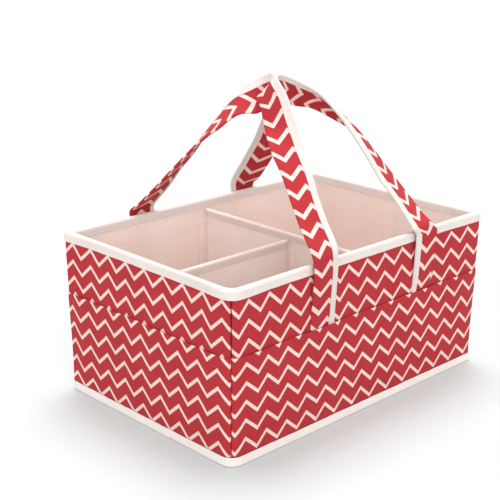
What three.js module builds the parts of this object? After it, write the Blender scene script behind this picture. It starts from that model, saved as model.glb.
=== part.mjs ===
// Diaper caddy: a rectangular fabric bin on stiffener boards, with flat outer pockets,
// bound edges, two strap handles that lean together and two lift-out dividers.
// Millimetres, +Z up. The origin is the middle of the footprint, on the floor.
// +X runs along the long walls and the front long wall faces -Y.

import * as THREE from 'three';

// Overall sizes
const bodyLength = 380;
const bodyWidth = 254;
const bodyHeight = 179;
const cornerRadius = 16;

// Layers of the sewn walls, from the outside in
const tapeThickness = 0.6;
const canvasThickness = 0.8;
const boardThickness = 1.8;
const liningThickness = 0.6;
const layerGap = 0.3;

// Edge bindings
const rimBindingHeight = 10;
const baseBindingHeight = 10;
const baseLipWidth = 7;
const bindingJointY = -27;

// Outer pockets
const pocketHeight = 112;
const pocketTightHeight = 14;
const pocketStandoff = 1.6;

// Base and wall boards
const baseBoardThickness = 2;
const boardTopDrop = 3;
const foldGap = 3;
const foldLineY = -9;
const boardCornerRadius = 4;

// Dividers
const crossDividerX = 1;
const crossDividerDrop = 10;
const longDividerY = -16;
const longDividerDrop = 6;
const dividerBoardThickness = 2.4;
const dividerBindingHeight = 8.5;
const dividerBindingSetback = 1;

// Hook and loop tape that holds the dividers
const hookThickness = 1;
const hookWidth = 3.6;
const loopStripWidth = 20;
const loopStripThickness = 1;
const fastenerBottom = 24;
const fastenerDrop = 29;

// Handle straps
const strapWidth = 35;
const strapThickness = 3;
const coverFold = 0.7;
const coreThickness = 1;
const coreWidth = 24;
const strapBindingWidth = 9.5;
const legGap = 118;
const handleOffset = 8;
const strapStandoff = 2;
const hingeDrop = 2;
const handleRise = 163;
const hingeGap = 0.3;
const tailDepth = 11;
const tailThickness = 1.2;
const tabSwellHeight = 16;

// How finely curves are cut
const cornerSegments = 5;
const strapSegments = 54;

// A handle's loop, from its left sewn leg over the top to its right one. The first three
// numbers place the bound edge: across (shares of half the leg gap), out from the middle
// plane towards the wall (shares of the wall distance) and up (shares of the rise).
// The last three are the direction from the bound edge to the folded edge.
const frontLoopShares = [
  [-1, 1, 0, -1, 0, 0],
  [-1, 1, 0.05, -1, 0.04, 0],
  [-0.99, 0.98, 0.1, -0.99, 0.12, 0.01],
  [-0.93, 0.85, 0.22, -0.98, 0.18, 0.06],
  [-0.86, 0.73, 0.35, -0.97, 0.22, 0.07],
  [-0.78, 0.62, 0.48, -0.96, 0.31, 0.03],
  [-0.72, 0.5, 0.61, -0.9, 0.4, -0.05],
  [-0.69, 0.4, 0.77, -0.61, 0.73, -0.33],
  [-0.64, 0.29, 0.905, -0.33, 0.8, -0.5],
  [-0.44, 0.16, 0.985, -0.1, 0.6, -0.79],
  [-0.1, 0.07, 0.99, 0.02, 0.3, -0.95],
  [0.2, 0.11, 0.925, 0.12, 0.47, -0.87],
  [0.37, 0.21, 0.86, 0.33, 0.72, -0.61],
  [0.49, 0.36, 0.74, 0.59, 0.72, -0.36],
  [0.61, 0.48, 0.61, 0.82, 0.56, -0.1],
  [0.72, 0.59, 0.48, 0.87, 0.48, -0.01],
  [0.82, 0.695, 0.34, 0.92, 0.36, 0.04],
  [0.92, 0.82, 0.22, 0.94, 0.29, -0.01],
  [0.98, 0.95, 0.1, 0.98, 0.17, -0.02],
  [1, 1, 0.05, 1, 0.04, 0],
  [1, 1, 0, 1, 0, 0],
];
const backLoopShares = [
  [-1, 1, 0, -1, 0, 0],
  [-1, 1.01, 0.05, -0.99, 0.12, -0.03],
  [-1, 0.99, 0.1, -0.96, 0.28, -0.11],
  [-0.96, 0.87, 0.22, -0.93, 0.36, -0.14],
  [-0.9, 0.745, 0.34, -0.93, 0.38, -0.13],
  [-0.84, 0.625, 0.46, -0.9, 0.44, -0.18],
  [-0.82, 0.53, 0.6, -0.8, 0.54, -0.26],
  [-0.83, 0.45, 0.74, -0.5, 0.77, -0.42],
  [-0.78, 0.35, 0.86, -0.1, 0.72, -0.69],
  [-0.5, 0.22, 0.935, 0.12, 0.42, -0.9],
  [-0.12, 0.15, 0.955, 0.14, 0.25, -0.96],
  [0.23, 0.2, 0.925, 0.16, 0.56, -0.81],
  [0.38, 0.32, 0.835, 0.48, 0.79, -0.38],
  [0.52, 0.41, 0.71, 0.66, 0.72, -0.22],
  [0.64, 0.505, 0.58, 0.8, 0.6, -0.05],
  [0.75, 0.6, 0.45, 0.87, 0.49, 0.02],
  [0.86, 0.715, 0.33, 0.9, 0.41, 0],
  [0.94, 0.825, 0.2, 0.95, 0.26, 0],
  [0.99, 0.95, 0.09, 0.99, 0.14, -0.03],
  [1, 1, 0.04, 1, 0.04, 0],
  [1, 1, 0, 1, 0, 0],
];

// Heights that follow the rim
const crossDividerTop = bodyHeight - crossDividerDrop;
const longDividerTop = crossDividerTop - longDividerDrop;
const fastenerTop = bodyHeight - fastenerDrop;

// Insets of each layer's outer face from the outermost face of the body
const pocketInset = tapeThickness + layerGap;
const canvasInset = pocketInset + canvasThickness + layerGap;
const boardInset = canvasInset + canvasThickness + layerGap;
const liningInset = boardInset + boardThickness + layerGap;
const insideInset = liningInset + liningThickness;
const rimOuterInset = canvasInset - layerGap - tapeThickness;
const rimInnerInset = insideInset + layerGap;

// Heights of the base layers and of the wall layers' edges
const wallBottom = tapeThickness + layerGap;
const wallTop = bodyHeight - tapeThickness - layerGap;
const baseBoardBottom = canvasThickness + layerGap;
const baseLiningBottom = baseBoardBottom + baseBoardThickness + layerGap;
const baseLiningTop = baseLiningBottom + liningThickness;

// Colours
const chevronRed = 0xbe4146;
const tapeCream = 0xf1e5de;
const liningBlush = 0xdfc2ba;
const boardGrey = 0xb9ab9a;
const fastenerWhite = 0xe6ddd6;
const coreWhite = 0xeee9e2;

function fabric(color) {
  return new THREE.MeshStandardMaterial({ color, roughness: 0.9, metalness: 0 });
}

function board() {
  return new THREE.MeshStandardMaterial({ color: boardGrey, roughness: 0.8, metalness: 0 });
}

function piece(name, geometry, material) {
  const mesh = new THREE.Mesh(geometry, material);
  mesh.name = name;
  return mesh;
}

// A geometry from points and faces, turned so that its faces point outwards
function closedGeometry(points, faces) {
  let volume = 0;
  for (const [a, b, c] of faces) {
    volume += points[a].dot(points[b].clone().cross(points[c]));
  }
  const outward = volume > 0 ? faces : faces.map(([a, b, c]) => [a, c, b]);
  const geometry = new THREE.BufferGeometry();
  geometry.setAttribute('position', new THREE.Float32BufferAttribute(points.flatMap((p) => p.toArray()), 3));
  geometry.setIndex(outward.flat());
  geometry.computeVertexNormals();
  return geometry;
}

// A body lofted through rings that all have the same outline, capped at both ends
// with that outline's own triangles. Every four-sided facet is split from the lower
// to the higher side of the outline, so that layers lofted together bend alike.
function loft(rings, outline) {
  const count = outline.length;
  const faces = [];
  for (let ring = 0; ring < rings.length - 1; ring += 1) {
    for (let i = 0; i < count; i += 1) {
      const next = (i + 1) % count;
      const a = ring * count + i;
      const b = ring * count + next;
      if (outline[next].x >= outline[i].x) {
        faces.push([a, b, b + count], [a, b + count, a + count]);
      } else {
        faces.push([a, b, a + count], [b, b + count, a + count]);
      }
    }
  }
  const lastRing = (rings.length - 1) * count;
  const turned = THREE.ShapeUtils.isClockWise(outline);
  for (const [a, b, c] of THREE.ShapeUtils.triangulateShape(outline, [])) {
    const [second, third] = turned ? [c, b] : [b, c];
    faces.push([a, third, second], [lastRing + a, lastRing + second, lastRing + third]);
  }
  return closedGeometry(rings.flat(), faces);
}

// A body swept round a closed path of rings, with no ends
function ringSweep(rings) {
  const count = rings[0].length;
  const total = rings.length * count;
  const faces = [];
  rings.forEach((ring, index) => {
    for (let i = 0; i < count; i += 1) {
      const a = index * count + i;
      const b = index * count + ((i + 1) % count);
      faces.push([a, b, (b + count) % total], [a, (b + count) % total, (a + count) % total]);
    }
  });
  return closedGeometry(rings.flat(), faces);
}

// Stations round the body's rounded rectangle: a corner centre and an outward direction,
// starting where the left wall meets the front-left corner and running anticlockwise
function cornerStations() {
  const stations = [];
  const centreX = bodyLength / 2 - cornerRadius;
  const centreY = bodyWidth / 2 - cornerRadius;
  const signs = [[-1, -1], [1, -1], [1, 1], [-1, 1]];
  signs.forEach(([signX, signY], corner) => {
    const start = Math.PI + (corner * Math.PI) / 2;
    for (let i = 0; i <= cornerSegments; i += 1) {
      const angle = start + (i / cornerSegments) * (Math.PI / 2);
      stations.push({
        centre: new THREE.Vector3(signX * centreX, signY * centreY, 0),
        outward: new THREE.Vector3(Math.cos(angle), Math.sin(angle), 0),
      });
    }
  });
  return stations;
}

// The point of a station that lies a given inset behind the body's outermost face
function insetPoint(station, inset, height) {
  return station.centre.clone().addScaledVector(station.outward, cornerRadius - inset).setZ(height);
}

// One wall layer seen from above: the straight wall and half of each rounded corner,
// with the corner seam halfway round. Heights and insets are given per level.
function wallLayer(halfLength, halfDepth, levels) {
  const centreX = halfLength - cornerRadius;
  const centreY = cornerRadius - halfDepth;
  const seamTurn = layerGap / (2 * cornerRadius);
  const sweep = Math.PI / 4 - seamTurn;
  const half = Math.ceil(cornerSegments / 2);
  const directions = [];
  for (let i = 0; i <= half; i += 1) {
    const angle = -Math.PI / 2 - sweep * (1 - i / half);
    directions.push([-centreX, angle]);
  }
  for (let i = 0; i <= half; i += 1) {
    const angle = -Math.PI / 2 + sweep * (i / half);
    directions.push([centreX, angle]);
  }
  const along = (inset) => directions.map(([x, angle]) => new THREE.Vector2(
    x + (cornerRadius - inset) * Math.cos(angle),
    centreY + (cornerRadius - inset) * Math.sin(angle),
  ));
  const outlineAt = (outer, thickness) => [...along(outer), ...along(outer + thickness).reverse()];
  const rings = levels.map(({ height, inset, thickness }) => (
    outlineAt(inset, thickness).map((p) => new THREE.Vector3(p.x, p.y, height))
  ));
  return loft(rings, outlineAt(levels[0].inset, levels[0].thickness));
}

// The four walls: their names, half lengths, half depths and turns about the vertical
const walls = [
  { side: 'front', half: bodyLength / 2, depth: bodyWidth / 2, turn: 0 },
  { side: 'right', half: bodyWidth / 2, depth: bodyLength / 2, turn: Math.PI / 2 },
  { side: 'back', half: bodyLength / 2, depth: bodyWidth / 2, turn: Math.PI },
  { side: 'left', half: bodyWidth / 2, depth: bodyLength / 2, turn: -Math.PI / 2 },
];

function roundedPlate(length, width, radius, thickness) {
  const x = length / 2;
  const y = width / 2;
  const shape = new THREE.Shape();
  shape.absarc(x - radius, y - radius, radius, 0, Math.PI / 2);
  shape.absarc(radius - x, y - radius, radius, Math.PI / 2, Math.PI);
  shape.absarc(radius - x, radius - y, radius, Math.PI, Math.PI * 1.5);
  shape.absarc(x - radius, radius - y, radius, Math.PI * 1.5, Math.PI * 2);
  return new THREE.ExtrudeGeometry(shape, {
    depth: thickness,
    bevelEnabled: false,
    curveSegments: cornerSegments,
  });
}

// A stiffener board that stands upright against the wall, lying in the XZ plane
function uprightBoard(length, height) {
  const geometry = roundedPlate(length, height, boardCornerRadius, boardThickness);
  return geometry.rotateX(Math.PI / 2);
}

function wallBoards({ side, half, depth }) {
  const height = wallTop - boardTopDrop - wallBottom;
  const straight = 2 * (half - cornerRadius);
  const middle = new THREE.Vector3(0, boardInset + boardThickness - depth, wallBottom + height / 2);
  const folds = half < depth;
  if (!folds) {
    const whole = piece(`${side}_wall_board`, uprightBoard(straight, height), board());
    whole.position.copy(middle);
    return [whole];
  }
  const turned = side === 'left' ? -1 : 1;
  return [-1, 1].map((end) => {
    const name = `${side}_wall_board_${end * turned > 0 ? 'back' : 'front'}`;
    const length = (straight - foldGap) / 2 - end * turned * foldLineY;
    const part = piece(name, uprightBoard(length, height), board());
    part.position.copy(middle).setX((end * (straight - length)) / 2);
    return part;
  });
}

function wallGroup(wall) {
  const { side, half, depth, turn } = wall;
  const group = new THREE.Group();
  const level = (height, inset, thickness) => ({ height, inset, thickness });
  const canvas = wallLayer(half, depth, [
    level(wallBottom, canvasInset, canvasThickness),
    level(wallTop, canvasInset, canvasThickness),
  ]);
  const lining = wallLayer(half, depth, [
    level(wallBottom, liningInset, liningThickness),
    level(wallTop, liningInset, liningThickness),
  ]);
  const pocket = wallLayer(half, depth, [
    level(wallBottom, pocketInset, canvasThickness),
    level(pocketTightHeight, pocketInset, canvasThickness),
    level(pocketHeight, pocketInset - pocketStandoff, canvasThickness),
  ]);
  group.add(piece(`${side}_wall_canvas`, canvas, fabric(chevronRed)));
  group.add(piece(`${side}_lining`, lining, fabric(liningBlush)));
  group.add(piece(`${side}_pocket`, pocket, fabric(chevronRed)));
  group.add(...wallBoards(wall));
  group.rotation.z = turn;
  return group;
}

// The base: outer canvas inside the binding's lip, the board that fills the floor
// between the linings, and the lining over it
function baseGroup() {
  const group = new THREE.Group();
  const plate = (inset, thickness) => roundedPlate(
    bodyLength - 2 * inset,
    bodyWidth - 2 * inset,
    cornerRadius - inset,
    thickness,
  );
  const canvas = piece('base_canvas', plate(baseLipWidth + layerGap, canvasThickness), fabric(chevronRed));
  const stiffener = piece('base_board', plate(rimInnerInset, baseBoardThickness), board());
  stiffener.position.z = baseBoardBottom;
  const lining = piece('base_lining', plate(rimInnerInset, liningThickness), fabric(liningBlush));
  lining.position.z = baseLiningBottom;
  group.add(canvas, stiffener, lining);
  return group;
}

// Tape folded over the rim: an upside-down channel swept round the whole body
function rimBinding() {
  const top = bodyHeight;
  const bottom = bodyHeight - rimBindingHeight;
  const section = [
    [rimOuterInset, bottom],
    [rimOuterInset, top],
    [rimInnerInset + tapeThickness, top],
    [rimInnerInset + tapeThickness, bottom],
    [rimInnerInset, bottom],
    [rimInnerInset, top - tapeThickness],
    [rimOuterInset + tapeThickness, top - tapeThickness],
    [rimOuterInset + tapeThickness, bottom],
  ];
  const rings = cornerStations().map((station) => (
    section.map(([inset, height]) => insetPoint(station, inset, height))
  ));
  return piece('rim_binding', ringSweep(rings), fabric(tapeCream));
}

// Tape round the foot of the walls and under their edge, in one strip whose ends meet
// on the left wall
function baseBinding() {
  const section = [
    [0, 0],
    [0, baseBindingHeight],
    [tapeThickness, baseBindingHeight],
    [tapeThickness, tapeThickness],
    [baseLipWidth, tapeThickness],
    [baseLipWidth, 0],
  ];
  const joint = (offset) => ({
    centre: new THREE.Vector3(cornerRadius - bodyLength / 2, bindingJointY + offset, 0),
    outward: new THREE.Vector3(-1, 0, 0),
  });
  const stations = [joint(-layerGap / 2), ...cornerStations(), joint(layerGap / 2)];
  const rings = stations.map((station) => (
    section.map(([inset, height]) => insetPoint(station, inset, height))
  ));
  const outline = section.map(([inset, height]) => new THREE.Vector2(inset, height));
  return piece('base_binding', loft(rings, outline), fabric(tapeCream));
}

// Half a divider's thickness over its cover, and the room that the hook tape on its ends
// and the loop tape that this grips take up between a divider and what holds it
const dividerHalfThickness = dividerBoardThickness / 2 + layerGap + liningThickness;
const fastenerReach = hookThickness + loopStripThickness + 3 * layerGap;

// A divider along X, centred on its own middle plane: a folded cover, open at the top,
// round a board, with tape over the open edge
function dividerPieces(name, length, top) {
  const bottom = baseLiningTop + layerGap;
  const coverTop = top - tapeThickness - layerGap;
  const channel = (halfOutside, wall, low, high, openUp, run) => {
    const closed = openUp ? low : high;
    const open = openUp ? high : low;
    const web = closed + (openUp ? wall : -wall);
    const shape = new THREE.Shape([
      new THREE.Vector2(-halfOutside, closed),
      new THREE.Vector2(halfOutside, closed),
      new THREE.Vector2(halfOutside, open),
      new THREE.Vector2(halfOutside - wall, open),
      new THREE.Vector2(halfOutside - wall, web),
      new THREE.Vector2(wall - halfOutside, web),
      new THREE.Vector2(wall - halfOutside, open),
      new THREE.Vector2(-halfOutside, open),
    ]);
    const geometry = new THREE.ExtrudeGeometry(shape, { depth: run, bevelEnabled: false });
    return geometry.translate(0, 0, -run / 2).rotateX(Math.PI / 2).rotateZ(Math.PI / 2);
  };
  const cover = channel(dividerHalfThickness, liningThickness, bottom, coverTop, true, length);
  const tapeHalf = dividerHalfThickness + layerGap + tapeThickness;
  const tapeRun = length - 2 * dividerBindingSetback;
  const tape = channel(tapeHalf, tapeThickness, top - dividerBindingHeight, top, false, tapeRun);
  const boardBottom = bottom + liningThickness + layerGap;
  const boardHeight = coverTop - layerGap - boardBottom;
  const boardLength = length - 2 * boardCornerRadius;
  const stiffener = new THREE.BoxGeometry(boardLength, dividerBoardThickness, boardHeight);
  stiffener.translate(0, 0, boardBottom + boardHeight / 2);
  return [
    piece(`${name}_cover`, cover, fabric(liningBlush)),
    piece(`${name}_board`, stiffener, board()),
    piece(`${name}_binding`, tape, fabric(tapeCream)),
  ];
}

function fastenerStrip(name, thickness, width) {
  const height = fastenerTop - fastenerBottom;
  const geometry = new THREE.BoxGeometry(thickness, width, height);
  geometry.translate(0, 0, fastenerBottom + height / 2);
  return piece(name, geometry, fabric(fastenerWhite));
}

function crossDivider() {
  const group = new THREE.Group();
  const length = bodyWidth - 2 * (insideInset + fastenerReach);
  group.add(...dividerPieces('cross_divider', length, crossDividerTop));
  const hookAt = length / 2 + layerGap + hookThickness / 2;
  const front = fastenerStrip('cross_divider_hook_front', hookThickness, hookWidth);
  front.position.x = -hookAt;
  const back = fastenerStrip('cross_divider_hook_back', hookThickness, hookWidth);
  back.position.x = hookAt;
  const grip = fastenerStrip('cross_divider_loop_strip', loopStripWidth, loopStripThickness);
  grip.position.set(longDividerY, dividerHalfThickness + layerGap + loopStripThickness / 2, 0);
  group.add(front, back, grip);
  group.rotation.z = Math.PI / 2;
  group.position.x = crossDividerX;
  return group;
}

function longDivider() {
  const group = new THREE.Group();
  const wallEnd = insideInset + fastenerReach - bodyLength / 2;
  const crossEnd = crossDividerX - dividerHalfThickness - fastenerReach;
  const length = crossEnd - wallEnd;
  group.add(...dividerPieces('long_divider', length, longDividerTop));
  const hookAt = length / 2 + layerGap + hookThickness / 2;
  const wallHook = fastenerStrip('long_divider_hook_wall', hookThickness, hookWidth);
  wallHook.position.x = -hookAt;
  const crossHook = fastenerStrip('long_divider_hook_cross', hookThickness, hookWidth);
  crossHook.position.x = hookAt;
  group.add(wallHook, crossHook);
  group.position.set((wallEnd + crossEnd) / 2, longDividerY, 0);
  return group;
}

// Loop tape sewn to the linings where the dividers meet them
function wallLoopStrips() {
  const group = new THREE.Group();
  const fromFace = insideInset + layerGap + loopStripThickness / 2;
  const front = fastenerStrip('front_wall_loop_strip', loopStripWidth, loopStripThickness);
  front.position.set(crossDividerX, fromFace - bodyWidth / 2, 0);
  const back = fastenerStrip('back_wall_loop_strip', loopStripWidth, loopStripThickness);
  back.position.set(crossDividerX, bodyWidth / 2 - fromFace, 0);
  const left = fastenerStrip('left_wall_loop_strip', loopStripThickness, loopStripWidth);
  left.position.set(fromFace - bodyLength / 2, longDividerY, 0);
  group.add(front, back, left);
  return group;
}

// Strap sections: first number across the strap from its folded edge, second through it
const coverHalf = strapThickness / 2;
const bindingInside = coverHalf + layerGap;
const bindingHalf = bindingInside + tapeThickness;
const coverEnd = strapWidth - tapeThickness - layerGap;
const bindingStart = strapWidth - strapBindingWidth;
const thirdShares = [1 / 3, 2 / 3];

function sectionPoint(across, through) {
  return new THREE.Vector2(across, through);
}

// Where a section gets points across the strap, so that all its layers bend alike
function acrossSteps(from, to) {
  const inner = [...thirdShares.map((share) => share * bindingStart), bindingStart];
  return [from, ...inner.filter((u) => u > from && u < to), to];
}

function coverSection() {
  const fold = coverFold;
  const cavity = coverHalf - coverFold;
  const outer = acrossSteps(fold, coverEnd);
  const lip = [...outer].reverse();
  return [
    sectionPoint(0, -cavity),
    ...outer.map((u) => sectionPoint(u, -coverHalf)),
    ...lip.map((u) => sectionPoint(u, -cavity)),
    ...outer.map((u) => sectionPoint(u, cavity)),
    ...lip.map((u) => sectionPoint(u, coverHalf)),
    sectionPoint(0, cavity),
  ];
}

function coreSection() {
  const start = coverFold + layerGap;
  const steps = acrossSteps(start, start + coreWidth);
  const half = coreThickness / 2;
  return [
    ...steps.map((u) => sectionPoint(u, -half)),
    ...[...steps].reverse().map((u) => sectionPoint(u, half)),
  ];
}

function bindingSection() {
  const web = strapWidth - tapeThickness;
  return [
    sectionPoint(bindingStart, -bindingHalf),
    sectionPoint(strapWidth, -bindingHalf),
    sectionPoint(strapWidth, bindingHalf),
    sectionPoint(bindingStart, bindingHalf),
    sectionPoint(bindingStart, bindingInside),
    sectionPoint(web, bindingInside),
    sectionPoint(web, -bindingInside),
    sectionPoint(bindingStart, -bindingInside),
  ];
}

function tabSection() {
  const fold = coverFold;
  return [
    sectionPoint(0, fold - coverHalf),
    sectionPoint(fold, -coverHalf),
    sectionPoint(coverEnd, -coverHalf),
    sectionPoint(coverEnd, coverHalf),
    sectionPoint(fold, coverHalf),
    sectionPoint(0, coverHalf - fold),
  ];
}

// The strap's middle plane stands off the wall, clear of the rim binding
const strapPlaneY = bodyWidth / 2 - rimOuterInset + strapStandoff + bindingHalf;
const hingeHeight = bodyHeight - hingeDrop;

// Frames along the loop: the bound edge, the direction across the strap and its face
function loopFrames(shares) {
  const edge = shares.map(([across, out, up]) => new THREE.Vector3(
    (across * legGap) / 2,
    -out * strapPlaneY,
    hingeHeight + hingeGap / 2 + up * handleRise,
  ));
  const fold = shares.map(([, , , x, y, z], i) => (
    new THREE.Vector3(x, y, z).normalize().multiplyScalar(strapWidth).add(edge[i])
  ));
  const edgeCurve = new THREE.CatmullRomCurve3(edge, false, 'centripetal');
  const foldCurve = new THREE.CatmullRomCurve3(fold, false, 'centripetal');
  const frames = [];
  for (let i = 0; i <= strapSegments; i += 1) {
    frames.push(frameAt(edgeCurve, foldCurve, i / strapSegments));
  }
  return frames;
}

function frameAt(edgeCurve, foldCurve, t) {
  const origin = edgeCurve.getPoint(t);
  const across = foldCurve.getPoint(t).sub(origin).normalize();
  const along = edgeCurve.getTangent(t).add(foldCurve.getTangent(t)).normalize();
  const face = along.clone().cross(across).normalize();
  return { origin, across, face, thick: 1 };
}

function strapRings(frames, section) {
  return frames.map(({ origin, across, face, thick }) => section.map((point) => (
    origin.clone()
      .addScaledVector(across, strapWidth - point.x)
      .addScaledVector(face, point.y * thick)
  )));
}

function strapPiece(name, frames, section, color) {
  return piece(name, loft(strapRings(frames, section), section), fabric(color));
}

// A sewn leg below the hinge: full thickness at the top, pressed thin where it goes
// down behind the pocket's edge. The side is -1 for the left leg and 1 for the right.
function tabFrames(side, half) {
  const wallFace = bodyWidth / 2 - canvasInset;
  const tailPlane = wallFace + layerGap + tailThickness / 2;
  const thinShare = tailThickness / (2 * half);
  const top = hingeHeight - hingeGap / 2;
  const levels = [
    { height: pocketHeight - tailDepth, out: tailPlane, thick: thinShare },
    { height: pocketHeight + layerGap, out: tailPlane, thick: thinShare },
    { height: pocketHeight + tabSwellHeight, out: strapPlaneY, thick: 1 },
    { height: top, out: strapPlaneY, thick: 1 },
  ];
  return levels.map(({ height, out, thick }) => ({
    origin: new THREE.Vector3((side * legGap) / 2, -out, height),
    across: new THREE.Vector3(side, 0, 0),
    face: new THREE.Vector3(0, side, 0),
    thick,
  }));
}

function handleGroup(name, shares, turn) {
  const group = new THREE.Group();
  const frames = loopFrames(shares);
  group.add(strapPiece(`${name}_cover`, frames, coverSection(), chevronRed));
  group.add(strapPiece(`${name}_core`, frames, coreSection(), coreWhite));
  group.add(strapPiece(`${name}_binding`, frames, bindingSection(), tapeCream));
  const turned = Math.cos(turn) < 0;
  for (const side of [-1, 1]) {
    const label = (side < 0) !== turned ? 'left' : 'right';
    const frame = tabFrames(side, coverHalf);
    group.add(strapPiece(`${name}_${label}_tab`, frame, tabSection(), chevronRed));
    const edge = tabFrames(side, bindingHalf).filter(({ thick }) => thick === 1);
    group.add(strapPiece(`${name}_${label}_tab_binding`, edge, bindingSection(), tapeCream));
  }
  group.position.x = Math.cos(turn) * handleOffset;
  group.rotation.z = turn;
  return group;
}

const caddy = new THREE.Group();
caddy.add(...walls.map(wallGroup));
caddy.add(baseGroup(), rimBinding(), baseBinding());
caddy.add(crossDivider(), longDivider(), wallLoopStrips());
caddy.add(handleGroup('front_handle', frontLoopShares, 0));
caddy.add(handleGroup('back_handle', backLoopShares, Math.PI));

export default caddy;
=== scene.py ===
"""The dressed diaper caddy: sewn walls and pockets, bound edges, dividers and handles.

Metres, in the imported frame: X along the long walls, the front long wall faces -Y and Z
goes up from the floor.
"""
import functools
import logging
import math
from collections.abc import Callable, Iterable, Mapping, Sequence
from dataclasses import dataclass, field
from enum import Enum
from typing import NamedTuple

import bpy
from mathutils import Matrix, Vector, noise


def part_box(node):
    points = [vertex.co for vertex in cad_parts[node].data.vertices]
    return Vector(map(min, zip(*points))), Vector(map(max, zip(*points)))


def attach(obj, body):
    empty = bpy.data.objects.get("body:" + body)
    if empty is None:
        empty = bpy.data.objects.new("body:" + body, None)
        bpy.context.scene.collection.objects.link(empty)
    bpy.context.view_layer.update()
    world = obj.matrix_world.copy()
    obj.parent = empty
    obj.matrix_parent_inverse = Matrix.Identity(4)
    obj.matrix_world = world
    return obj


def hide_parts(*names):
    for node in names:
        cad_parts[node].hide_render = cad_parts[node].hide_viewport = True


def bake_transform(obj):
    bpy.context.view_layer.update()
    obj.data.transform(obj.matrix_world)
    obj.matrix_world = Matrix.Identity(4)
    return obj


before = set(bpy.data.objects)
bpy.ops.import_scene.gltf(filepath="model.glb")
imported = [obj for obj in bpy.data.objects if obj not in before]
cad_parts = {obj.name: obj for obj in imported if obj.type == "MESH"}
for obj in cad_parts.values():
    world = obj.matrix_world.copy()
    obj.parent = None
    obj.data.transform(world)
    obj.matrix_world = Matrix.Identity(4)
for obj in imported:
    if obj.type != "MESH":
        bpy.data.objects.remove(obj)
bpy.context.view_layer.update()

logging.basicConfig(level=logging.INFO, format="%(message)s")
LOG = logging.getLogger("caddy")

Colour = tuple[float, float, float]
Pair = tuple[float, float]
Piece = bpy.types.Object
Place = Callable[[float, float], Vector]
Printed = Callable[[float, float, float], Pair]
Surface = Callable[[float, float], float]

CLOTH_MAP = "cloth"
BODY = "caddy"


def ease(value: float, low: float, high: float) -> float:
    """Goes smoothly from 0 at the low value to 1 at the high one."""
    share = min(max((value - low) / (high - low), 0.0), 1.0)
    return share * share * (3 - 2 * share)


@dataclass(frozen=True)
class Waves:
    """Smooth unevenness of cloth, the same on every run.

    Attributes:
        size: About how far it goes either way.
        length: Length of its waves along the cloth.
        rise: Length of its waves up the cloth.
        seed: Sets it apart from other waves.
    """

    size: float
    length: float
    rise: float = 1.0
    seed: float = 0.0

    def at(self, seed: float, along: float, up: float = 0.0) -> float:
        """How uneven it is at a place, on the cloth that this seed stands for."""
        place = Vector((along / self.length, up / self.rise, self.seed + seed))
        return self.size * noise.noise(place)


class Side(Enum):
    """The four walls, each with the quarter turns that carry the front wall to it."""

    FRONT = 0
    RIGHT = 1
    BACK = 2
    LEFT = 3

    @property
    def label(self) -> str:
        """The wall's name as the nodes write it."""
        return self.name.lower()

    @property
    def turn(self) -> Matrix:
        """The turn about the vertical from the front wall to this one."""
        return Matrix.Rotation(self.value * math.pi / 2, 3, "Z")

    @property
    def is_long(self) -> bool:
        """Whether the wall carries a handle."""
        return self in (Side.FRONT, Side.BACK)


class Layer(Enum):
    """The printed layers of a wall."""

    CANVAS = "canvas"
    POCKET = "pocket"


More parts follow.
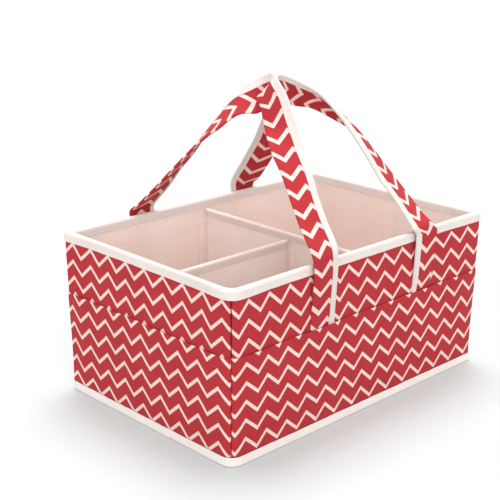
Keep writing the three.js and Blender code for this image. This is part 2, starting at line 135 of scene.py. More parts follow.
@dataclass(frozen=True)
class BodyPlan:
    """The body's plan: a rounded rectangle, with each layer at its own inset.

    Attributes:
        half_length: Half the footprint along X.
        half_width: Half the footprint along Y.
        height: Height of the bound rim.
        rim_low: Height of the rim tape's lower edge.
        foot_top: Height of the foot tape's upper edge.
        canvas_inset: Outer face of the canvas, in from the footprint.
        lining_inset: Outer face of the lining, in from the footprint.
        rim_inset: Outer face of the rim tape, in from the footprint.
        pocket_top: Height of the pockets' edge.
        floor_top: Height of the lining on the base.
        relaxed_corner: Radius of the front left and back right corners.
        pulled_corner: Radius of the other two, which the boards hold tight.
        least_radius: Radius of the innermost layers where a corner is tight.
        flare: How far the outer layers stand out at the corners by the rim.
        flare_from: Height from which they do.
        flared_share: Share of the way to the seam from which they do.
        foot_lip: How far the foot tape reaches under the base.
    """

    half_length: float
    half_width: float
    height: float
    rim_low: float
    foot_top: float
    canvas_inset: float
    lining_inset: float
    rim_inset: float
    pocket_top: float
    floor_top: float
    relaxed_corner: float = 0.015
    pulled_corner: float = 0.0045
    least_radius: float = 0.0008
    flare: float = 0.0026
    flare_from: float = 0.025
    flared_share: float = 0.55
    foot_lip: float = 0.007

    @classmethod
    def read(cls) -> "BodyPlan":
        """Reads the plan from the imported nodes."""
        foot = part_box("base_binding")[1]
        rim_low, rim_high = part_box("rim_binding")
        return cls(
            half_length=foot.x,
            half_width=foot.y,
            height=rim_high.z,
            rim_low=rim_low.z,
            foot_top=foot.z,
            canvas_inset=foot.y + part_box("front_wall_canvas")[0].y,
            lining_inset=foot.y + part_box("front_lining")[0].y,
            rim_inset=foot.y - rim_high.y,
            pocket_top=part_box("front_pocket")[1].z,
            floor_top=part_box("base_lining")[1].z,
        )

    def half_span(self, side: Side) -> float:
        """Half the wall's outside length."""
        return self.half_length if side.is_long else self.half_width

    def corner(self, side: Side, end: int) -> float:
        """Radius of the corner at a wall's start, for -1, or at its end, for 1."""
        relaxed = (end < 0) == side.is_long
        return self.relaxed_corner if relaxed else self.pulled_corner

    def run(self, side: Side, end: int) -> float:
        """Length of a wall's panel from its middle to the seam at its start or end."""
        return self.half_span(side) - self.corner(side, end) * (1 - math.pi / 4)

    def length(self, side: Side) -> float:
        """Length of a wall's panel, from seam to seam round half of each corner."""
        return self.run(side, -1) + self.run(side, 1)

    def from_seam(self, side: Side, along: float) -> float:
        """How far a place on a wall lies from the nearer seam."""
        return min(self.run(side, -1) + along, self.run(side, 1) - along)

    def point(self, side: Side, along: float, inset: float, height: float) -> Vector:
        """A place on a wall's panel.

        Args:
            side: The wall.
            along: Distance from the wall's middle, measured round the corners too.
            inset: How far behind the footprint's edge.
            height: Height over the floor.

        Returns:
            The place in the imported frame.
        """
        end = 1 if along > 0 else -1
        share = abs(along) / self.run(side, end)
        flare = self.flare * ease(height, self.flare_from, self.rim_low)
        flare *= 1 - ease(inset, self.canvas_inset, self.lining_inset)
        radius = max(self.corner(side, end) - inset, self.least_radius)
        straight = self.half_span(side) - inset - radius
        depth = self.half_width if side.is_long else self.half_length
        over = max(abs(along) - straight, 0.0)
        angle = over / (self.run(side, end) - straight) * math.pi / 4
        x = end * (min(abs(along), straight) + radius * math.sin(angle) + flare * share)
        y = inset - depth + radius * (1 - math.cos(angle))
        y -= flare * ease(share, self.flared_share, 1.0)
        return side.turn @ Vector((x, y, height))

    @property
    def girth(self) -> float:
        """Length of the outline right round the body."""
        return sum(self.length(side) for side in Side)

    def round_point(self, distance: float, inset: float, height: float) -> Vector:
        """A place on the outline, which starts at the front-left seam and goes by the front.

        Args:
            distance: How far round the outline.
            inset: How far behind the footprint's edge.
            height: Height over the floor.

        Returns:
            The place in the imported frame.
        """
        left = distance % self.girth
        for side in Side:
            if left <= self.length(side):
                return self.point(side, left - self.run(side, -1), inset, height)
            left -= self.length(side)
        return self.point(Side.LEFT, self.run(Side.LEFT, 1), inset, height)

    def distance_to(self, side: Side, along: float) -> float:
        """How far round the outline a place on a wall lies."""
        before = sum(self.length(other) for other in Side if other.value < side.value)
        return before + self.run(side, -1) + along


class Outline:
    """A section line of straight runs and arcs that knows the length up to each point."""

    def __init__(self, first: float, second: float) -> None:
        """Starts the line at a point."""
        self.points = [(first, second)]
        self.lengths = [0.0]

    def _reach(self, first: float, second: float) -> None:
        """Adds one point."""
        self.lengths.append(self.lengths[-1] + math.dist(self.points[-1], (first, second)))
        self.points.append((first, second))

    def line(self, first: float, second: float, pieces: int = 1) -> "Outline":
        """Goes straight on.

        Args:
            first: The first coordinate of the run's end.
            second: The second coordinate of the run's end.
            pieces: How many steps the run is cut into.

        Returns:
            This outline.
        """
        start_first, start_second = self.points[-1]
        for index in range(1, pieces + 1):
            share = index / pieces
            here = start_first + (first - start_first) * share
            self._reach(here, start_second + (second - start_second) * share)
        return self

    def arc(self, first: float, second: float, turn: float, pieces: int) -> "Outline":
        """Goes round a centre.

        Args:
            first: The centre's first coordinate.
            second: The centre's second coordinate.
            turn: The angle turned, in degrees, against the clock.
            pieces: How many steps the arc is cut into.

        Returns:
            This outline.
        """
        start_first, start_second = self.points[-1]
        radius = math.dist((start_first, start_second), (first, second))
        start = math.atan2(start_second - second, start_first - first)
        for index in range(1, pieces + 1):
            angle = start + math.radians(turn) * index / pieces
            self._reach(first + radius * math.cos(angle), second + radius * math.sin(angle))
        return self

    def round_over(self, reach: float, pieces: int) -> "Outline":
        """Goes half round from one face, at 1 or -1, to the other, as a folded edge does.

        Args:
            reach: How far the fold stands out along the first coordinate.
            pieces: How many steps the fold is cut into.

        Returns:
            This outline.
        """
        first, second = self.points[-1]
        for index in range(1, pieces + 1):
            angle = math.pi * index / pieces
            self._reach(first + reach * math.sin(angle), second * math.cos(angle))
        return self

    @property
    def rows(self) -> int:
        """How many steps the line has."""
        return len(self.points) - 1

    @property
    def length(self) -> float:
        """The whole line's length."""
        return self.lengths[-1]

    def at(self, share: float) -> tuple[float, float, float]:
        """The point and the length at a share of the steps."""
        index = round(share * self.rows)
        return (*self.points[index], self.lengths[index])


class Bench:
    """Makes meshes with Blender's operators, with one piece on the bench at a time.

    Attributes:
        HARD_EDGE: The angle from which an edge stays hard.
        WELD_REACH: How close two points lie that become one.
    """

    HARD_EDGE = math.radians(50)
    WELD_REACH = 1e-6

    @staticmethod
    def lay(piece: Piece) -> None:
        """Selects one piece alone, so that operators act on nothing else."""
        bpy.ops.object.select_all(action="DESELECT")
        piece.select_set(True)
        bpy.context.view_layer.objects.active = piece

    @staticmethod
    def cloth(name: str, columns: int, rows: int, place: Place, printed: Printed) -> Piece:
        """Cuts a sheet of cloth and shapes it.

        Args:
            name: The piece's name.
            columns: Steps along the sheet.
            rows: Steps up the sheet.
            place: Gives the place of a point from its shares along and up the sheet.
            printed: Gives a corner's place on the flat cloth from its shares along and up
                and the share up of the middle of its face.

        Returns:
            The piece, one layer thick, with its place on the flat cloth as a UV map.
        """
        bpy.ops.object.select_all(action="DESELECT")
        bpy.ops.mesh.primitive_grid_add(x_subdivisions=columns, y_subdivisions=rows, size=1)
        piece = bpy.context.object
        piece.name = name
        mesh = piece.data
        mesh.name = name
        shares = [(vertex.co.x + 0.5, vertex.co.y + 0.5) for vertex in mesh.vertices]
        layer = mesh.uv_layers[0]
        layer.name = CLOTH_MAP
        for face in mesh.polygons:
            middle = sum(shares[index][1] for index in face.vertices) / len(face.vertices)
            for loop in face.loop_indices:
                along, up = shares[mesh.loops[loop].vertex_index]
                layer.data[loop].uv = printed(along, up, middle)
        for vertex, (along, up) in zip(mesh.vertices, shares):
            vertex.co = place(along, up)
        mesh.update()
        return piece

    @classmethod
    def thicken(cls, piece: Piece, thickness: float) -> None:
        """Gives a sheet its thickness, behind its face."""
        cls.lay(piece)
        solid = piece.modifiers.new("Thickness", "SOLIDIFY")
        solid.thickness = thickness
        solid.offset = -1
        bpy.ops.object.modifier_apply(modifier=solid.name)

    @classmethod
    def weld(cls, piece: Piece) -> None:
        """Joins a sheet's meeting edges and closes its ends, which makes a solid of it."""
        cls.lay(piece)
        bpy.ops.object.mode_set(mode="EDIT")
        bpy.ops.mesh.select_all(action="SELECT")
        bpy.ops.mesh.remove_doubles(threshold=cls.WELD_REACH)
        bpy.ops.mesh.fill_holes(sides=0)
        bpy.ops.mesh.select_all(action="SELECT")
        bpy.ops.mesh.normals_make_consistent(inside=False)
        bpy.ops.object.mode_set(mode="OBJECT")

    @classmethod
    def smooth(cls, piece: Piece) -> None:
        """Shades a piece smooth except at its hard edges."""
        cls.lay(piece)
        bpy.ops.object.shade_smooth_by_angle(angle=cls.HARD_EDGE)


class Signal:
    """A number that runs through a material, so that maths on it reads as Python."""

    def __init__(self, graph: "Graph", socket: bpy.types.NodeSocket) -> None:
        """Keeps where new nodes go and which output socket gives the number."""
        self.graph = graph
        self.socket = socket

    def _math(self, operation: str, *values: "Signal | float") -> "Signal":
        """Adds a Math node on these values."""
        inputs = dict(enumerate(values))
        return self.graph.add("ShaderNodeMath", {"operation": operation}, inputs)

    def __add__(self, other: "Signal | float") -> "Signal":
        """The sum."""
        return self._math("ADD", self, other)

    def __radd__(self, other: float) -> "Signal":
        """The sum with a number first."""
        return self._math("ADD", other, self)

    def __sub__(self, other: "Signal | float") -> "Signal":
        """The difference."""
        return self._math("SUBTRACT", self, other)

    def __rsub__(self, other: float) -> "Signal":
        """The difference from a number."""
        return self._math("SUBTRACT", other, self)

    def __mul__(self, other: "Signal | float") -> "Signal":
        """The product."""
        return self._math("MULTIPLY", self, other)

    def __rmul__(self, other: float) -> "Signal":
        """The product with a number first."""
        return self._math("MULTIPLY", other, self)

    def __truediv__(self, other: "Signal | float") -> "Signal":
        """The quotient."""
        return self._math("DIVIDE", self, other)

    def __rtruediv__(self, other: float) -> "Signal":
        """The quotient with a number first."""
        return self._math("DIVIDE", other, self)

    def __abs__(self) -> "Signal":
        """The size without its sign."""
        return self._math("ABSOLUTE", self)

    def fraction(self) -> "Signal":
        """What is left over the last whole number."""
        return self._math("FRACT", self)

    def sine(self) -> "Signal":
        """The sine."""
        return self._math("SINE", self)

    def least(self, other: "Signal | float") -> "Signal":
        """The smaller of two."""
        return self._math("MINIMUM", self, other)

    def wave(self, length: float) -> "Signal":
        """A sine between -1 and 1 that repeats at this length."""
        return (self * (math.tau / length)).sine()

    def ramp(self, low: float, high: float) -> "Signal":
        """Goes smoothly from 0 at one value to 1 at a higher one."""
        settings = {"interpolation_type": "SMOOTHSTEP"}
        inputs = {"Value": self, "From Min": low, "From Max": high}
        return self.graph.add("ShaderNodeMapRange", settings, inputs, "Result")


class Graph:
    """A material's nodes round one Principled shader."""

    def __init__(self, name: str) -> None:
        """Starts a material.

        Args:
            name: The material's name.
        """
        self.material = bpy.data.materials.new(name)
        self.material.use_nodes = True
        self.tree = self.material.node_tree
        self.shader = self.tree.nodes["Principled BSDF"]

    @staticmethod
    def _find(sockets: Iterable[bpy.types.NodeSocket], key: str | int) -> bpy.types.NodeSocket:
        """The socket of this number or identifier."""
        listed = list(sockets)
        if isinstance(key, int):
            return listed[key]
        return next(socket for socket in listed if socket.identifier == key)

    def _feed(self, socket: bpy.types.NodeSocket, value: object) -> None:
        """Links a signal to a socket, or sets a number or colour on it."""
        if isinstance(value, Signal):
            self.tree.links.new(value.socket, socket)
        elif isinstance(value, tuple) and len(value) == 3 and socket.type == "RGBA":
            socket.default_value = (*value, 1.0)
        else:
            socket.default_value = value

    def add(
        self,
        kind: str,
        settings: dict[str, object],
        inputs: dict[str | int, object],
        output: str | int = 0,
    ) -> Signal:
        """Adds one node.

        Args:
            kind: The node's type.
            settings: Its settings, which are set first.
            inputs: Values or signals for its sockets, by number or identifier.
            output: The output to give back.

        Returns:
            The output as a signal.
        """
        node = self.tree.nodes.new(kind)
        for key, value in settings.items():
            setattr(node, key, value)
        for key, value in inputs.items():
            self._feed(self._find(node.inputs, key), value)
        return Signal(self, self._find(node.outputs, output))

    def shade(self, **values: object) -> None:
        """Sets or links the shader's sockets, written with _ for a space."""
        for key, value in values.items():
            name = key.replace("_", " ").title().replace("Ior", "IOR")
            self._feed(self.shader.inputs[name], value)

    def cloth(self) -> tuple[Signal, Signal, Signal]:
        """The place on the flat cloth.

        Returns:
            The place itself, then how far along it is and how far up.
        """
        place = self.add("ShaderNodeUVMap", {"uv_map": CLOTH_MAP}, {}, "UV")
        along = self.add("ShaderNodeSeparateXYZ", {}, {"Vector": place}, "X")
        up = self.add("ShaderNodeSeparateXYZ", {}, {"Vector": place}, "Y")
        return place, along, up

    def solid(self) -> Signal:
        """The place in the piece's own space."""
        return self.add("ShaderNodeTexCoord", {}, {}, "Object")

    def noise(self, place: Signal, size: float, detail: float = 2.0) -> Signal:
        """Smooth noise round 0.5, in blotches of about this size with finer ones on them."""
        inputs = {"Vector": place, "Scale": 1 / size, "Detail": detail}
        return self.add("ShaderNodeTexNoise", {}, inputs, "Fac")

    def mix(self, share: Signal, low: "Signal | Colour", high: "Signal | Colour") -> Signal:
        """A colour between two others, the first where the share is 0."""
        inputs = {"Factor_Float": share, "A_Color": low, "B_Color": high}
        return self.add("ShaderNodeMix", {"data_type": "RGBA"}, inputs, "Result_Color")

    def bump(self, height: Signal, distance: float, strength: float = 1.0) -> None:
        """Raises the surface by a height between 0 and 1 times a distance."""
        inputs = {"Height": height, "Distance": distance, "Strength": strength}
        self.shade(normal=self.add("ShaderNodeBump", {}, inputs, "Normal"))


@dataclass(frozen=True)
class ChevronPrint:
    """Woven canvas with rows of light zigzags on red.

    Attributes:
        name: The material's name.
        peak_at: Where along the cloth a peak stands.
        row_at: Where up the cloth a peak's middle line is.
        period: Length of one zigzag.
        pitch: From one row to the next.
        swing: From the peaks' middle line to the valleys'.
        stroke: Height of the light line.
        rise_share: The share of a zigzag that goes up.
        thread: Width of one thread of the weave.
        fleck: How wide the flecks of the yarn are.
        blotch: How wide the blotches of the dye are.
        wander: How far the rows wander from straight, and over what length.
        fray: How far the light line's edges fray, and over what length.
        fade: How far inside and outside its edge the light line's colour changes.
        relief: Depth of the weave.
        red: The ground's colour where it is darkest and lightest.
        light: The line's colour where it is darkest and lightest.
        turned_in: Painted shade: the dark colour painted where the cloth goes into a seam or under
            a tape.
        edges: Where that is: along the cloth at its start and end, then up it.
        edge_reach: How far from there the painted shade reaches, at least and at most.
    """

    name: str
    peak_at: float = 0.0
    row_at: float = 0.0
    period: float = 0.0276
    pitch: float = 0.0194
    swing: float = 0.0132
    stroke: float = 0.0043
    rise_share: float = 0.5
    thread: float = 0.0009
    fleck: float = 0.0013
    blotch: float = 0.05
    wander: Pair = (0.0012, 0.03)
    fray: Pair = (0.0006, 0.0016)
    fade: Pair = (0.00015, 0.0002)
    relief: float = 0.00022
    red: tuple[Colour, Colour] = ((0.35, 0.018, 0.024), (0.43, 0.034, 0.04))
    light: tuple[Colour, Colour] = ((0.7, 0.485, 0.44), (0.84, 0.635, 0.58))
    # Painted shade: the dark red painted along the seams and the tapes' edges.
    turned_in: Colour = (0.11, 0.012, 0.014)
    edges: tuple[float, float, float, float] = (-1.0, 1.0, -1.0, 1.0)
    edge_reach: Pair = (0.0001, 0.0007)

    def build(self) -> bpy.types.Material:
        """Makes the material."""
        graph = Graph(self.name)
        place, along, up = graph.cloth()
        drift = (graph.noise(place, self.wander[1]) - 0.5) * self.wander[0]
        zigzag = ((along + drift - self.peak_at) / self.period + self.rise_share).fraction()
        height = (zigzag / self.rise_share).least((1 - zigzag) / (1 - self.rise_share))
        level = up + drift - self.row_at - (height - 1) * self.swing
        off_line = abs((level / self.pitch + 0.5).fraction() - 0.5) * self.pitch
        ragged = off_line + (graph.noise(place, self.fray[1]) - 0.5) * self.fray[0]
        ground = ragged.ramp(self.stroke / 2 - self.fade[0], self.stroke / 2 + self.fade[1])
        weave = along.wave(2 * self.thread) * up.wave(2 * self.thread)
        fleck = graph.noise(place, self.fleck, 3.0)
        blotch = graph.noise(place, self.blotch)
        tone = (fleck * 0.5 + blotch * 0.35 + weave * 0.1 + 0.08).ramp(0.2, 0.8)
        red = graph.mix(tone, *self.red)
        light = graph.mix(tone, *self.light)
        # Painted shade: the print darkens to turned_in within edge_reach of the seams and the
        # tapes' edges.
        start, end, low, high = self.edges
        from_edge = (along - start).least(end - along).least(up - low).least(high - up)
        out_of_painted_shade = from_edge.ramp(*self.edge_reach)
        graph.shade(
            base_color=graph.mix(out_of_painted_shade, self.turned_in, graph.mix(ground, light, red)),
            roughness=0.8 + fleck * 0.12,
            sheen_weight=0.03,
            sheen_roughness=0.5,
            specular_ior_level=0.15,
        )
        graph.bump(weave * 0.35 + fleck * 0.5 + 0.3, self.relief, 0.8)
        return graph.material


@dataclass(frozen=True)
class PlainCloth:
    """Plain woven cloth.

    Attributes:
        name: The material's name.
        tones: Its colour where it is darkest and lightest.
        thread: Width of one thread of the weave.
        fleck: How wide the flecks of the yarn are.
        blotch: How wide the blotches of the dye are.
        rib: Width of the ribs across a tape, or 0 on plain weave.
        relief: Depth of the weave.
    """

    name: str
    tones: tuple[Colour, Colour]
    thread: float = 0.0007
    fleck: float = 0.0012
    blotch: float = 0.04
    rib: float = 0.0
    relief: float = 0.0002

    def build(self) -> bpy.types.Material:
        """Makes the material."""
        graph = Graph(self.name)
        place, along, up = graph.cloth()
        if self.rib:
            weave = (along.wave(self.rib) + up.wave(2 * self.rib) * 0.3) * 0.7
        else:
            weave = along.wave(2 * self.thread) * up.wave(2 * self.thread)
        fleck = graph.noise(place, self.fleck, 3.0)
        blotch = graph.noise(place, self.blotch)
        tone = (fleck * 0.45 + blotch * 0.4 + weave * 0.12 + 0.08).ramp(0.2, 0.8)
        graph.shade(
            base_color=graph.mix(tone, *self.tones),
            roughness=0.82 + fleck * 0.1,
            sheen_weight=0.1,
            sheen_roughness=0.5,
            specular_ior_level=0.25,
        )
        graph.bump(weave * 0.35 + fleck * 0.4 + 0.3, self.relief, 0.8)
        return graph.material


@dataclass(frozen=True)
class PressedFibre:
    """Fibre board, foam or fastener tape, which has no weave to follow.

    Attributes:
        name: The material's name.
        tones: Its colour where it is darkest and lightest.
        grain: How wide one fibre or hook is.
        depth: How deep the grain is.
    """

    name: str
    tones: tuple[Colour, Colour]
    grain: float
    depth: float

    def build(self) -> bpy.types.Material:
        """Makes the material."""
        graph = Graph(self.name)
        place = graph.solid()
        fibre = graph.noise(place, self.grain, 3.0)
        blotch = graph.noise(place, 20 * self.grain)
        tone = (fibre * 0.6 + blotch * 0.4).ramp(0.3, 0.7)
        graph.shade(
            base_color=graph.mix(tone, *self.tones),
            roughness=0.75 + fibre * 0.2,
            specular_ior_level=0.3,
        )
        graph.bump(fibre, self.depth)
        return graph.material


Finish = ChevronPrint | PlainCloth | PressedFibre

TAPE = PlainCloth("cream_tape", ((0.62, 0.535, 0.495), (0.755, 0.68, 0.65)), rib=0.0011)
# Painted light: a lighter copy of the cream tape, to lift the shade that falls on the tape by the
# floor.
FOOT_TAPE_PAINTED_LIGHTER = PlainCloth("cream_foot_tape", ((0.76, 0.67, 0.63), (0.88, 0.81, 0.78)), rib=0.0011)
SLEEVE_TAPE = PlainCloth("blush_tape", ((0.6, 0.49, 0.445), (0.73, 0.62, 0.58)), rib=0.0011)
# Painted shade: a darker copy of the cream tape, since the strap's upturned tape catches more
# light than the rim's.
STRAP_TAPE_PAINTED_DARKER = PlainCloth(
    "cream_strap_tape", ((0.59, 0.515, 0.48), (0.715, 0.645, 0.62)), rib=0.0011
)
LINING = PlainCloth("blush_lining", ((0.79, 0.645, 0.585), (0.88, 0.75, 0.695)))
SLEEVE = PlainCloth("blush_sleeve", ((0.79, 0.66, 0.605), (0.88, 0.77, 0.72)))
THREAD = PressedFibre(
    "cream_thread", ((0.7, 0.61, 0.55), (0.86, 0.78, 0.72)), grain=0.0006, depth=0.0001
)
BOARD = PressedFibre(
    "grey_board", ((0.36, 0.31, 0.25), (0.5, 0.44, 0.36)), grain=0.002, depth=0.0002
)
FASTENER = PressedFibre(
    "fastener_tape", ((0.79, 0.65, 0.595), (0.88, 0.76, 0.705)), grain=0.0009, depth=0.0002
)
CORE = PressedFibre(
    "strap_core", ((0.72, 0.7, 0.66), (0.84, 0.82, 0.78)), grain=0.0015, depth=0.0003
)


@functools.cache
def material_of(finish: Finish) -> bpy.types.Material:
    """The one material of a finish."""
    return finish.build()


def dress(piece: Piece, finish: Finish, stands_for: Sequence[str] = ()) -> None:
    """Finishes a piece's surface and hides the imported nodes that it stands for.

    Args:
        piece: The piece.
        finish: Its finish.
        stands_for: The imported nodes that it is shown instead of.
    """
    Bench.smooth(piece)
    piece.data.materials.clear()
    piece.data.materials.append(material_of(finish))
    if stands_for:
        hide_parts(*stands_for)
    LOG.info("%s: %d faces", piece.name, len(piece.data.polygons))


def panel_print(body: BodyPlan, side: Side, layer: Layer) -> ChevronPrint:
    """How the print lies on one panel of the walls.

    Args:
        body: The body's plan.
        side: The wall.
        layer: The canvas of the wall or its pocket.

    Returns:
        The panel's finish.
    """
    usual = ChevronPrint.pitch
    peak_at, row_at, pitch = {
        (Side.FRONT, Layer.CANVAS): (-0.1383, 0.1651, usual),
        (Side.FRONT, Layer.POCKET): (-0.143, 0.1042, usual),
        (Side.LEFT, Layer.CANVAS): (0.001, 0.1496, 0.0182),
        (Side.LEFT, Layer.POCKET): (-0.0035, 0.0981, 0.0189),
        (Side.RIGHT, Layer.CANVAS): (0.0065, 0.1585, usual),
        (Side.RIGHT, Layer.POCKET): (0.0021, 0.1019, usual),
        (Side.BACK, Layer.CANVAS): (0.0093, 0.1626, usual),
        (Side.BACK, Layer.POCKET): (0.0033, 0.1061, usual),
    }[side, layer]
    period, rise_share = (0.0276, 0.45) if side.is_long else (0.0281, 0.53)
    # Painted shade lines: at both seams, under the rim tape on the canvas and over the foot tape
    # on the pocket.
    low, high = (-1.0, body.rim_low) if layer is Layer.CANVAS else (body.foot_top, 1.0)
    edges = (-body.run(side, -1), body.run(side, 1), low, high)
    name = f"chevron_{side.label}_{layer.value}"
    return ChevronPrint(name, peak_at, row_at, period, pitch, rise_share=rise_share, edges=edges)


@dataclass
class Stitching:
    """A row of stitches in one thread, half sunk into what it holds.

    Attributes:
        length: Length of one stitch.
        gap: Between two stitches.
        thread: Thickness of the thread.
    """

    length: float = 0.0024
    gap: float = 0.0009
    thread: float = 0.00048

    def _stitch(self) -> tuple[list[Vector], list[tuple[int, ...]]]:
        """Models one stitch, one long and one thick, along X."""
        bpy.ops.object.select_all(action="DESELECT")
        bpy.ops.mesh.primitive_uv_sphere_add(segments=6, ring_count=4, radius=0.5)
        ball = bpy.context.object
        bpy.ops.object.mode_set(mode="EDIT")
        bpy.ops.transform.rotate(value=math.pi / 2, orient_axis="Y", center_override=(0, 0, 0))
        bpy.ops.object.mode_set(mode="OBJECT")
        places = [vertex.co.copy() for vertex in ball.data.vertices]
        faces = [tuple(face.vertices) for face in ball.data.polygons]
        bpy.data.objects.remove(ball, do_unlink=True)
        return places, faces

    def sew(self, name: str, paths: Iterable[Sequence[tuple[Vector, Vector]]]) -> Piece:
        """Sews stitches along paths.

        Args:
            name: What they belong to.
            paths: Each path's places, each with the direction that the stitches face.

        Returns:
            One piece that holds all the stitches, finished as thread.
        """
        name = f"{name}_stitches"
        shape, shape_faces = self._stitch()
        places: list[Vector] = []
        faces: list[tuple[int, ...]] = []
        for path in paths:
            travelled = [0.0]
            for (here, _), (after, _) in zip(path, path[1:]):
                travelled.append(travelled[-1] + (after - here).length)
            step = self.length + self.gap
            segment = 0
            for index in range(int(travelled[-1] / step)):
                middle = (index + 0.5) * step
                while travelled[segment + 1] < middle:
                    segment += 1
                here, facing = path[segment]
                after, facing_after = path[segment + 1]
                reach = travelled[segment + 1] - travelled[segment]
                share = (middle - travelled[segment]) / reach
                along = (after - here).normalized()
                out = facing.lerp(facing_after, share)
                out = (out - along * out.dot(along)).normalized()
                sideways = along.cross(out)
                centre = here.lerp(after, share)
                start = len(places)
                places.extend(
                    centre
                    + along * (co.x * self.length)
                    + (sideways * co.y + out * co.z) * self.thread
                    for co in shape
                )
                faces.extend(tuple(start + corner for corner in face) for face in shape_faces)
        mesh = bpy.data.meshes.new(name)
        mesh.from_pydata(places, [], faces)
        piece = bpy.data.objects.new(name, mesh)
        bpy.context.scene.collection.objects.link(piece)
        dress(piece, THREAD)
        return piece


@dataclass(frozen=True)
class HandlePlan:
    """Where the sewn legs of the straps lie, and the sizes that both handles share.

    Attributes:
        offset: How far the front handle's middle lies from the wall's middle.
        leg_gap: Between the bound edges of the two legs.
        plane: The legs' middle plane, out from the body's middle plane.
        hinge_height: Height of the line that the loop swings about.
        tail_bottom: Height of the tucked tails' ends.
        tail_plane: The tucked tails' middle plane.
        pressed_top: Height up to which the tails are pressed flat.
        full_from: Height from which the legs stand in the loop's plane.
        width: Width of the strap.
        rise: Height of the loop's measure over the hinge line.
        cover_half: Half the strap's thickness.
        tail_half: Half its thickness where the tail is tucked in.
        tape: Thickness of the edge tape.
        tape_width: How far the edge tape reaches over the strap at most.
        inner_tape_share: The share of that on the inner face.
        pinch: How much thinner the strap is at its bound edge.
        core: Thickness of the padding.
        core_width: Width of the padding.
    """

    offset: float
    leg_gap: float
    plane: float
    hinge_height: float
    tail_bottom: float
    tail_plane: float
    pressed_top: float
    full_from: float
    width: float = 0.035
    rise: float = 0.163
    cover_half: float = 0.0015
    tail_half: float = 0.0006
    tape: float = 0.0006
    tape_width: float = 0.0095
    inner_tape_share: float = 0.66
    pinch: float = 0.5
    core: float = 0.001
    core_width: float = 0.022

    @classmethod
    def read(cls, body: BodyPlan) -> "HandlePlan":
        """Reads the plan from the front handle's sewn legs.

        Args:
            body: The body's plan.

        Returns:
            The handles' plan.
        """
        left_low, left_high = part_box("front_handle_left_tab_binding")
        right_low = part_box("front_handle_right_tab_binding")[0]
        tab_low, tab_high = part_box("front_handle_left_tab")
        tail_room = 0.0003
        return cls(
            offset=(left_high.x + right_low.x) / 2,
            leg_gap=right_low.x - left_high.x,
            plane=-(left_low.y + left_high.y) / 2,
            hinge_height=tab_high.z,
            tail_bottom=tab_low.z,
            tail_plane=body.half_width - body.canvas_inset + tail_room + cls.tail_half,
            pressed_top=body.pocket_top + tail_room,
            full_from=body.rim_low,
        )

    def leg_spans(self) -> list[Pair]:
        """Where the legs lie along a long wall."""
        inner = self.leg_gap / 2
        outer = inner + self.width
        left = (self.offset - outer, self.offset - inner)
        return [left, (self.offset + inner, self.offset + outer)]


